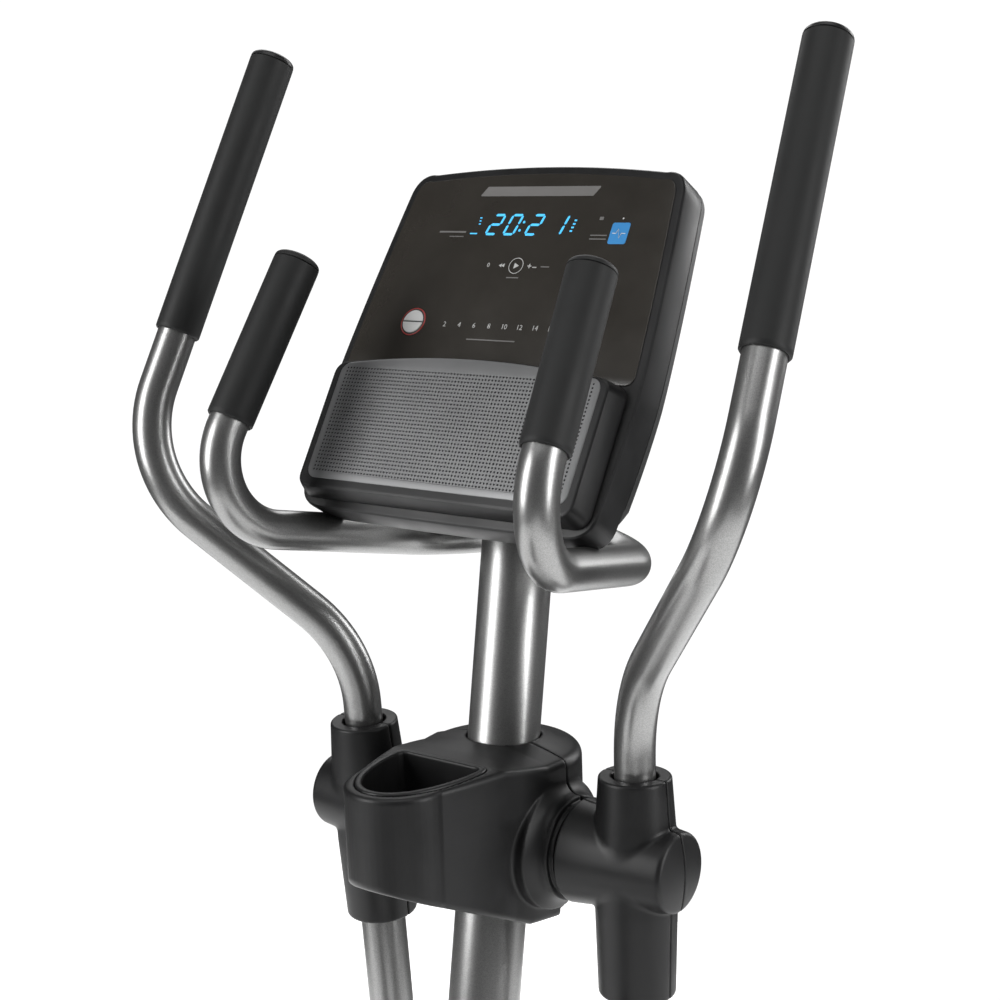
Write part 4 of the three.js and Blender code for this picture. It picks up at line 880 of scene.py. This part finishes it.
def printed(name, shape, material):
    piece(name, shape, ON_CONSOLE, material, "frame", ())


def flat_shape(outlines, low=PRINT_Z, high=PRINT_Z + 0.14):
    return joined(*[slab(np.array(outline, float), low, high, 0.03, steps=1) for outline in outlines])


def disc(x, y, radius, sides=28):
    return arc(x, y, radius, 0, 2 * math.pi * (sides - 1) / sides, sides)


def bar(x, y, width, height):
    return rounded([(x - width / 2, y - height / 2, 0.3), (x + width / 2, y - height / 2, 0.3),
                    (x + width / 2, y + height / 2, 0.3), (x - width / 2, y + height / 2, 0.3)], 30)


def number_shape(text, x, y, size):
    """A numeral in the built-in typeface."""
    curve = bpy.data.curves.new("numeral", "FONT")
    curve.body, curve.size, curve.align_x, curve.align_y = text, size, "CENTER", "CENTER"
    curve.extrude, curve.resolution_u = 0.07, 3
    holder = bpy.data.objects.new("numeral", curve)
    bpy.context.scene.collection.objects.link(holder)
    mesh = bpy.data.meshes.new_from_object(holder.evaluated_get(bpy.context.evaluated_depsgraph_get()))
    points = np.array([v.co for v in mesh.vertices], float) + (x, y, PRINT_Z + 0.07)
    faces = [tuple(face.vertices) for face in mesh.polygons]
    bpy.data.objects.remove(holder)
    bpy.data.curves.remove(curve)
    bpy.data.meshes.remove(mesh)
    return points, faces


SEGMENTS = {"0": "abcdef", "1": "bc", "2": "abged"}
DIGIT = {"width": 13, "height": 21, "stroke": 2.3, "slant": 0.27}


def digit_outlines(text, x, y):
    """The lit strokes of a slanted seven-segment digit whose lower left corner is at x, y."""
    w, h, s = DIGIT["width"], DIGIT["height"], DIGIT["stroke"]
    gap, mid = 0.35, h / 2
    across = {"a": h - s / 2, "g": mid, "d": s / 2}
    upright = {"f": (s / 2, mid, h), "b": (w - s / 2, mid, h), "e": (s / 2, 0, mid),
               "c": (w - s / 2, 0, mid)}
    outlines = []
    for key in SEGMENTS[text]:
        if key in across:
            cy = across[key]
            run = [(s / 2 + gap, cy), (s + gap, cy - s / 2), (w - s - gap, cy - s / 2),
                   (w - s / 2 - gap, cy), (w - s - gap, cy + s / 2), (s + gap, cy + s / 2)]
        else:
            cx, low, high = upright[key]
            low, high = low + (s / 2 if low == 0 else 0) + gap, high - (s / 2 if high == h else 0) - gap
            run = [(cx, low), (cx + s / 2, low + s / 2), (cx + s / 2, high - s / 2),
                   (cx, high), (cx - s / 2, high - s / 2), (cx - s / 2, low + s / 2)]
        outlines.append([(x + u + v * DIGIT["slant"], y + v) for u, v in run])
    return outlines


DIGIT_Y = -53
digits = []
for text, x in (("2", -46), ("0", -26.5), ("2", -3), ("1", 23)):
    digits += digit_outlines(text, x, DIGIT_Y)
for v in (5, 13):
    digits.append([(px + 0.27 * v, py) for px, py in disc(-9.8, DIGIT_Y + v, 1.3, 12)])
digits += [bar(-55 + 0.3 * i, DIGIT_Y + 17 - 3 * i, 2.2, 1.1) for i in range(3)]
digits += [bar(48 - 0.6 * i, DIGIT_Y + 15 - 3.4 * i, 2.6, 1.6) for i in range(4)]
digits += [bar(-58, DIGIT_Y + 1.5, 8, 1.2)]
printed("display_digits", flat_shape(digits), CYAN)

LEVELS = range(2, 18, 2)
LEVEL_PITCH, LEVEL_Y = 8.15, -140
numbers = [number_shape(str(level), (level - 9) * LEVEL_PITCH, LEVEL_Y, 6.6) for level in LEVELS]
numbers.append(number_shape("0", -30, -82, 5.6))
symbols = [
    [(-15.5, -80.2), (-18.6, -82), (-15.5, -83.8)], [(-12.6, -80.2), (-15.7, -82), (-12.6, -83.8)],
    [(-2, -79.2), (-2, -84.8), (3.2, -82)],
    bar(14.4, -82, 4.2, 0.9), bar(14.4, -82, 0.9, 4.2), bar(20, -83.2, 4.4, 0.9),
]
low, high = PRINT_Z, PRINT_Z + 0.14
ring_section = [(low, 7.0), (low, 7.6), (high, 7.6), (high, 7.0)]
play_ring = moved(lathe(ring_section, 40), at(0, -82, 0))
printed("level_numerals", joined(*numbers), PRINT)
printed("key_symbols", joined(flat_shape(symbols), play_ring), PRINT)
captions = [bar(x, y, width, height) for x, y, width, height in
            ((-2, -153, 52, 1.1), (0, -93.5, 13, 1.0), (-82, -50, 30, 1.6), (-76, -54.5, 16, 0.9),
             (76, -52, 17, 1.0), (76, -55.5, 17, 1.0), (31, -82.5, 9, 1.0), (74, -36, 4, 3))]
printed("faint_captions", flat_shape(captions), FAINT_PRINT)
emblem = [rounded([(-64, -14.5, 1), (58, -14.5, 1), (64, -5, 1), (-58, -5, 1)], 30)]
printed("plain_emblem", flat_shape(emblem), FAINT_PRINT)
app_tile = rounded([(87, -60, 2.2), (105, -60, 2.2), (105, -40, 2.2), (87, -40, 2.2)], 15)
printed("app_tile", flat_shape([app_tile]), BLUE)
pulse_line = [(89.5, -50), (93, -50), (94.6, -46), (97, -54.5), (98.6, -50), (102.5, -50)]
pulse = sweep([(x, y, PRINT_Z + 0.2) for x, y in pulse_line], 0.35, 8)
tile_marks = joined(pulse, flat_shape([disc(96, -36, 0.8)], PRINT_Z, PRINT_Z + 0.2))
printed("app_tile_mark", tile_marks, WHITE)

# ---- Rocker buttons ----
ROCKER_X, ROCKER_Y, ROCKER_FACE = 93, -139, 10.9
for name, side in SIDES:
    place = ON_CONSOLE @ at(side * ROCKER_X, ROCKER_Y, 0)
    halves = []
    for sign in (1, -1):
        a = np.linspace(0.05, math.pi - 0.05, 26)
        outline = ROCKER_FACE * np.column_stack([np.cos(a), np.sin(a)])
        outline[:, 1] = np.maximum(outline[:, 1], 0.35)
        halves.append(moved(slab(outline, -2, 2.1, 0.8), turned(0 if sign > 0 else 180, "Z")))
    piece(f"{name}_rocker_face", joined(*halves), place, WHITE, f"{name}_button", [f"{name}_rocker"])
    base = lathe([(-7, 0), (-7, 12.2), (1.1, 12.2), (1.3, 11.6), (1.3, 0)])
    piece(f"{name}_rocker_base", base, place, GREY_EDGE, f"{name}_button", ())
    ring = lathe([(0.6, 12.3), (0.9, 13.3), (1.25, 13.1), (1.45, 12.6), (1.3, 12.3)], 64)
    piece(f"{name}_rocker_ring", ring, place, RED, "frame", ())

# ---- Console bracket ----
plate = block(-50, 50, -240, -90, -47.3, -42.3, 10, 1.2)
bracket = joined(
    moved(plate, at(*CONSOLE_ORIGIN) @ turned(CONSOLE_TILT, "X")),
    rod(on_mast(MAST_TOP - 60), on_mast(MAST_TOP + 76), 28, 48, 1.0))
piece("console_mounting_plate", bracket, ON_PIVOT, BLACK_PAINT, "frame", ["console_bracket"])

# ---- Base ----
STABILIZER_Z, STABILIZER_RADIUS, STABILIZER_HALF = 36, 30, 262
FRONT_Y, BACK_Y = (sum(v.y for v in node_box(n)) / 2 for n in ("front_cap_right", "rear_cap_right"))
RAIL_BACK, RAIL_FRONT = (corner.y for corner in node_box("main_rail"))

rail_section = rounded([(-30, 66.4, 7), (30, 66.4, 7), (30, RAIL_TOP, 7), (-30, RAIL_TOP, 7)])
rail = stacked(rail_section, ((0, RAIL_FRONT - 1), (0, RAIL_BACK + 1)), "Y")
post = block(-8, 32, CRANK.y - 30, CRANK.y + 30, RAIL_TOP - 2, CRANK.z, 4, 1)
saddles = joined(*[block(-34, 34, y - 22, y + 22, 58, 72, 4, 1.5) for y in (FRONT_Y, BACK_Y)])
gusset = rounded([(-60, 0, 3), (30, 0, 3), (4, 62, 6), (-14, 62, 6)])
gussets = moved(joined(*[standing(slab(gusset, x - 2.5, x + 2.5, 0.8)) for x in (-27, 27)]),
                at(0, PIVOT.y + MAST_LEAN * (RAIL_TOP - PIVOT.z) - 4, RAIL_TOP - 1))
piece("base_rail", joined(rail, post, saddles), IDENTITY, BLACK_PAINT, "frame", ["main_rail"])
piece("mast_gussets", gussets, IDENTITY, BLACK_PAINT, "frame", ())
plugs = []
for y, sign in ((RAIL_FRONT, 1), (RAIL_BACK, -1)):
    levels = [(grow, y + sign * out) for grow, out in ((0, -1), (0, 1.6), (0.8, 2.8), (2.4, 3.4))]
    plugs.append(stacked(inset(rail_section, 0.2), levels[::sign], "Y"))
piece("rail_end_plugs", joined(*plugs), IDENTITY, SMOOTH_PLASTIC, "frame", ())


def cap_outline(low):
    top = arc(0, 4, 34, 0, math.pi, 25)
    foot = rounded([(-34, 4, 0.1), (-34, low, 11), (34, low, 11), (34, 4, 0.1)], 10)
    foot = [tuple(p) for p in foot if p[1] < 3.5]
    return np.array([(x, max(y, low)) for x, y in top + foot])


for end, y, low in (("front", FRONT_Y, -STABILIZER_Z), ("rear", BACK_Y, -STABILIZER_Z + 5)):
    place = at(0, y, STABILIZER_Z)
    tube = rod_x(-STABILIZER_HALF, STABILIZER_HALF, STABILIZER_RADIUS, 0, 0, 64)
    piece(f"{end}_floor_bar", tube, place, SILVER, "frame", [f"{end}_stabilizer"])
    for name, side in SIDES:
        levels = ((1.2, 219), (0.3, 219.6), (0, 221), (0, 266), (1.4, 271), (4, 273.8), (8.5, 275))
        cap = stacked(cap_outline(low), levels, "X")
        piece(f"{end}_floor_cap_{name}", cap, place @ mirror(side), SMOOTH_PLASTIC,
              "frame", [f"{end}_cap_{name}"])

for name, side in SIDES:
    wheel = joint_point(f"{name}_wheel_spin")
    near_half = [(-11, 6), (-11, 20), (-9, 21), (-9, 25), (-11, 26), (-10.4, 28), (-8, 29.6), (-5, 30)]
    tread = turned_x(near_half + [(-x, radius) for x, radius in reversed(near_half)])
    piece(f"{name}_wheel_tread", tread, at(*wheel), RUBBER, f"{name}_wheel", [f"transport_wheel_{name}"])
    ear = rounded([(-44, -12, 3), (10, -12, 9), (10, 14, 9), (-44, 14, 3)])
    ears = moved(joined(*[standing(slab(ear, x, x + 4, 0.6)) for x in (-16, 12)]), at(0, 0, -2))
    axle = joined(rod_x(-17, 17, 5), hex_nut(16, 20, 13), hex_nut(-20, -16, 13))
    piece(f"{name}_wheel_fork", ears, at(*wheel), SILVER, "frame", ())
    piece(f"{name}_wheel_axle", axle, at(*wheel), ZINC, "frame", ())
    low, high = node_box(f"levelling_foot_{name}")
    place = at((low.x + high.x) / 2, (low.y + high.y) / 2, 0)
    pad = lathe([(0, 0), (0, 20), (0.6, 20.8), (1.6, 20.8), (2, 19.5), (2, 0)])
    thread = joined(*[lathe([(z, 0), (z, 4.6), (z + 0.75, 5), (z + 1.5, 4.6), (z + 1.5, 0)], 24)
                      for z in np.arange(2, 34, 1.5)])
    piece(f"{name}_foot_pad", pad, place, RUBBER, f"{name}_foot", [f"levelling_foot_{name}"])
    piece(f"{name}_foot_thread", thread, place, ZINC, f"{name}_foot", ())

# ---- Drive housing ----
HOUSING_RADIUS, NOSE_HOUSING = 200, 155
nose_centre = FLYWHEEL + Vector((0, 25, 20))


def drive_outline(reduce):
    """Two arcs, about the crank and about the flywheel, joined by straight tangents."""
    run = Vector((nose_centre.y - CRANK.y, nose_centre.z - CRANK.z))
    aim = math.atan2(run.y, run.x)
    spread = math.acos((HOUSING_RADIUS - NOSE_HOUSING) / run.length)
    big = arc(CRANK.y, CRANK.z, HOUSING_RADIUS - reduce, aim + spread, aim - spread + 2 * math.pi, 40)
    small = arc(nose_centre.y, nose_centre.z, NOSE_HOUSING - reduce, aim - spread, aim + spread, 40)
    return np.array(big + small)


def drive_shell():
    """One shell: a seam lip, a rounded shoulder, and a shallow step round a flat face."""
    levels = [(0.6, 0.25), (0.0, 0.9), (0.0, 4.2), (0.9, 4.6), (0.9, 5.6), (0.0, 6.0), (0, 46),
              (0.7, 50.5), (2.6, 54.5), (5.6, 57.6), (9.5, 59), (26, 59.4), (27.2, 58.2), (29, 57.6),
              (31, 58.2), (33, 60.6), (37, 61.4), (60, 61.8)]
    return loft([np.insert(drive_outline(reduce), 0, x, axis=1) for reduce, x in levels])


hub_ring = turned_x([(60, 16), (60, 46), (61.2, 45), (61.9, 42), (61.9, 26), (61, 20), (60.6, 16)], 64)
for name, side in SIDES:
    flip = mirror(side)
    piece(f"{name}_drive_shell", drive_shell(), flip, PLASTIC, "frame", [f"{name}_housing"],
          25)
    piece(f"{name}_drive_hub_ring", hub_ring, at(0, CRANK.y, CRANK.z) @ flip, SMOOTH_PLASTIC, "frame", ())
    screws = []
    for a in np.linspace(0.25, 2 * math.pi + 0.25, 7)[:-1]:
        centre = CRANK + Vector((0, math.cos(a), math.sin(a))) * 150
        if (centre - nose_centre).length > 150 or a < 1:
            screws.append(rod_x(60.2, 61.9, 5, centre.y, centre.z, 24))
    piece(f"{name}_drive_screws", joined(*screws), flip, ZINC, "frame", ())
inlet = node_box("power_inlet")
inlet_y, inlet_z = inlet[0].y, (inlet[0].z + inlet[1].z) / 2
socket = moved(lathe([(0, 3), (0, 8.4), (0.6, 9), (2, 9), (2.4, 6), (18, 6), (18, 0), (6, 0), (6, 3)], 40),
               along((30, inlet_y, inlet_z), (30, inlet_y + 1, inlet_z)))
piece("power_socket", socket, IDENTITY, SMOOTH_PLASTIC, "frame", ["power_inlet"])


# ---- Crank and pedal arms ----
def crank_outline():
    lean = math.asin(6 / CRANK_RADIUS)
    big = arc(0, 0, 25, math.pi / 2 - lean, 1.5 * math.pi + lean, 30)
    small = arc(CRANK_RADIUS, 0, 19, -math.pi / 2 + lean, math.pi / 2 - lean, 24)
    return np.array(big + small)


for name, side in SIDES:
    crank = standing(slab(crank_outline(), 66, 82, 2.2))
    angle = CRANK_ANGLE + (0 if side > 0 else 180)
    place = at(0, CRANK.y, CRANK.z) @ turned(angle, "X") @ mirror(side)
    piece(f"{name}_crank", crank, place, BLACK_PAINT, "crank", [f"crank_arm_{name}"])
    hub = joined(rod_x(61, 66.5, 16), rod_x(81.5, 83.5, 15), hex_nut(83, 90, 19), rod_x(89, 93, 6))
    piece(f"{name}_crank_nut", hub, place, ZINC, "crank", ())

for name, side in SIDES:
    body = f"{name}_link"
    place = link_place(name, side) @ mirror(side) @ at(ARM_X, 0, 0)
    section = rounded([(-20, -30, 5), (20, -30, 5), (20, 30, 5), (-20, 30, 5)])
    tube = stacked(section, ((0, -48), (0, -956)), "Y")
    fork = []
    for x0 in (-37, 31):
        outline = arc(0, 0, 24, -math.pi / 2, math.pi / 2, 20)
        outline += [(-100, 24), (-108, 16), (-108, -16), (-100, -24)]
        fork.append(standing(slab(np.array(outline), x0, x0 + 6, 1.0)))
    cross = joined(block(-37, 37, -54, -44, -24, 24, 2, 1), block(-37, 37, -108, -102, -24, 24, 2, 1))
    arm = joined(tube, *fork, cross)
    piece(f"{name}_pedal_beam", arm, place, SILVER, body, [f"{name}_pedal_arm"])
    pin = joined(rod_x(-39, 39, 10), hex_nut(38, 42, 17), hex_nut(-42, -38, 17))
    crank_pin = joined(rod_x(-64.5, 0, 9, -930), rod_x(-34, -19, 17, -930), hex_nut(20, 25, 17, -930),
                       rod_x(24, 28, 7, -930))
    piece(f"{name}_pedal_pins", joined(pin, crank_pin), place, STEEL, body, ())
    plug = stacked(inset(section, 0.2), ((0, -955), (0, -957.6), (0.8, -959), (2.4, -959.8)), "Y")
    piece(f"{name}_beam_plug", plug, place, SMOOTH_PLASTIC, body, ())

    foot = rounded([(-60, -925, 30), (90, -925, 30), (90, -575, 46), (-60, -575, 46)])
    levels = [(2.5, 34), (0.6, 35), (0, 37), (0, 57), (0.4, 59), (1.6, 60), (3.2, 59.6), (4.2, 58),
              (4.8, 45), (6.5, 41.6), (10, 40.4)]
    tray = stacked(foot, levels)
    tread = []
    for x in np.arange(-44, 78, 11.8):
        away = abs(x - 15)
        back, front = -905 + away * 0.18, -600 - away * 0.2
        tread.append(block(x - 2.6, x + 2.6, back, front, 40.2, 42.6, 2.4, 0.7))
    pads = [block(-16, 16, y - 18, y + 18, 30.2, 36, 3, 0.8) for y in (-865, -635)]
    piece(f"{name}_foot_tray", joined(tray, *pads), place, PLASTIC, body, [f"{name}_pedal"],
          30)
    piece(f"{name}_foot_treads", joined(*tread), place, RUBBER, body, ())

# ---- Inner CAD nodes that stay as they are, with better finishes ----
KEPT = {
    "pivot_axle": STEEL, "crank_axle": STEEL, "crank_pulley": PLASTIC, "drive_belt": RUBBER,
    "flywheel": IRON, "idler_pulley": PLASTIC, "magnet_bracket": ZINC, "circuit_board": BOARD,
    "resistance_motor": SMOOTH_PLASTIC, "speaker_right": SMOOTH_PLASTIC,
    "speaker_left": SMOOTH_PLASTIC, "wire_harness": RUBBER,
}
for node, material in KEPT.items():
    mesh = frame["nodes"][node].data
    mesh.materials.clear()
    mesh.materials.append(material)

# ---- Floor, light and camera ----
floor_mesh = bpy.data.meshes.new("floor")
FLOOR = 2.2
floor_corners = [(x * FLOOR, y * FLOOR, 0) for x, y in ((-1, -1), (1, -1), (1, 1), (-1, 1))]
floor_mesh.from_pydata(floor_corners, [], [(0, 1, 2, 3)])
floor = bpy.data.objects.new("floor", floor_mesh)
bpy.context.scene.collection.objects.link(floor)
floor_paint = Paint("pale_floor")
floor_paint.feed(floor_paint.shader, {
    "Base Color": (0.8, 0.8, 0.8, 1), "Emission Color": (1, 1, 1, 1), "Emission Strength": 0.8,
    "Roughness": 0.9, "Specular IOR Level": 0.1})
floor.data.materials.append(floor_paint.made)


def direction(azimuth, elevation):
    """The unit vector to an azimuth and an elevation in degrees. Azimuth 0 is behind the user."""
    a, e = math.radians(azimuth), math.radians(elevation)
    return Vector((math.sin(a) * math.cos(e), -math.cos(a) * math.cos(e), math.sin(e)))


def softbox(name, azimuth, elevation, distance, width, height, power, aim=Vector((0, 0.35, 1.15))):
    """A rectangular studio light that points at the middle of the machine."""
    back = direction(azimuth, elevation)
    light = bpy.data.lights.new(name, "AREA")
    light.shape, light.size, light.size_y, light.energy = "RECTANGLE", width, height, power
    lamp = bpy.data.objects.new(name, light)
    lamp.location = aim + back * distance
    lamp.rotation_euler = back.to_track_quat("Z", "Y").to_euler()
    bpy.context.scene.collection.objects.link(lamp)


CAMERA_AZIMUTH, CAMERA_ELEVATION, CAMERA_ROLL = 37.85, 11.37, -2.05
softbox("left_box", CAMERA_AZIMUTH - 70, 18, 3.2, 1.3, 2.6, 80)
softbox("right_box", CAMERA_AZIMUTH + 57, 14, 3.2, 0.9, 2.6, 62)
softbox("rim_box", CAMERA_AZIMUTH + 126, 20, 3.4, 0.8, 2.4, 40)
softbox("top_box", CAMERA_AZIMUTH - 10, 78, 3.2, 2.6, 2.6, 36)
softbox("back_box", CAMERA_AZIMUTH + 185, 35, 3.8, 3.0, 1.6, 34)

world = bpy.data.worlds.new("studio")
bpy.context.scene.world = world
world.use_nodes = True
nodes, links = world.node_tree.nodes, world.node_tree.links
background = nodes["Background"]
background.inputs["Color"].default_value = (0.065, 0.065, 0.066, 1)
seen = nodes.new("ShaderNodeBackground")
seen.inputs["Color"].default_value = (1, 1, 1, 1)
seen.inputs["Strength"].default_value = 1.05
path = nodes.new("ShaderNodeLightPath")
mix = nodes.new("ShaderNodeMixShader")
links.new(path.outputs["Is Camera Ray"], mix.inputs[0])
links.new(background.outputs[0], mix.inputs[1])
links.new(seen.outputs[0], mix.inputs[2])
links.new(mix.outputs[0], nodes["World Output"].inputs["Surface"])
bpy.context.scene.view_settings.view_transform = "Standard"

FOCAL_LENGTH = 67.29
CAMERA_FROM_PIVOT = Vector((975.74, -1231.85, 615.86))
azimuth, roll = math.radians(CAMERA_AZIMUTH), math.radians(CAMERA_ROLL)
back = direction(CAMERA_AZIMUTH, CAMERA_ELEVATION)
right = Vector((math.cos(azimuth), math.sin(azimuth), 0))
up = back.cross(right)
right, up = right * math.cos(roll) + up * math.sin(roll), up * math.cos(roll) - right * math.sin(roll)
camera = bpy.data.objects.new("camera", bpy.data.cameras.new("camera"))
camera.data.lens = FOCAL_LENGTH
camera.data.sensor_width = 36
camera.data.shift_x, camera.data.shift_y = -0.0012, -0.0037
place = Matrix((right, up, back)).transposed().to_4x4()
place.translation = (PIVOT + CAMERA_FROM_PIVOT) * MM
camera.matrix_world = place
bpy.context.scene.collection.objects.link(camera)
bpy.context.scene.camera = camera
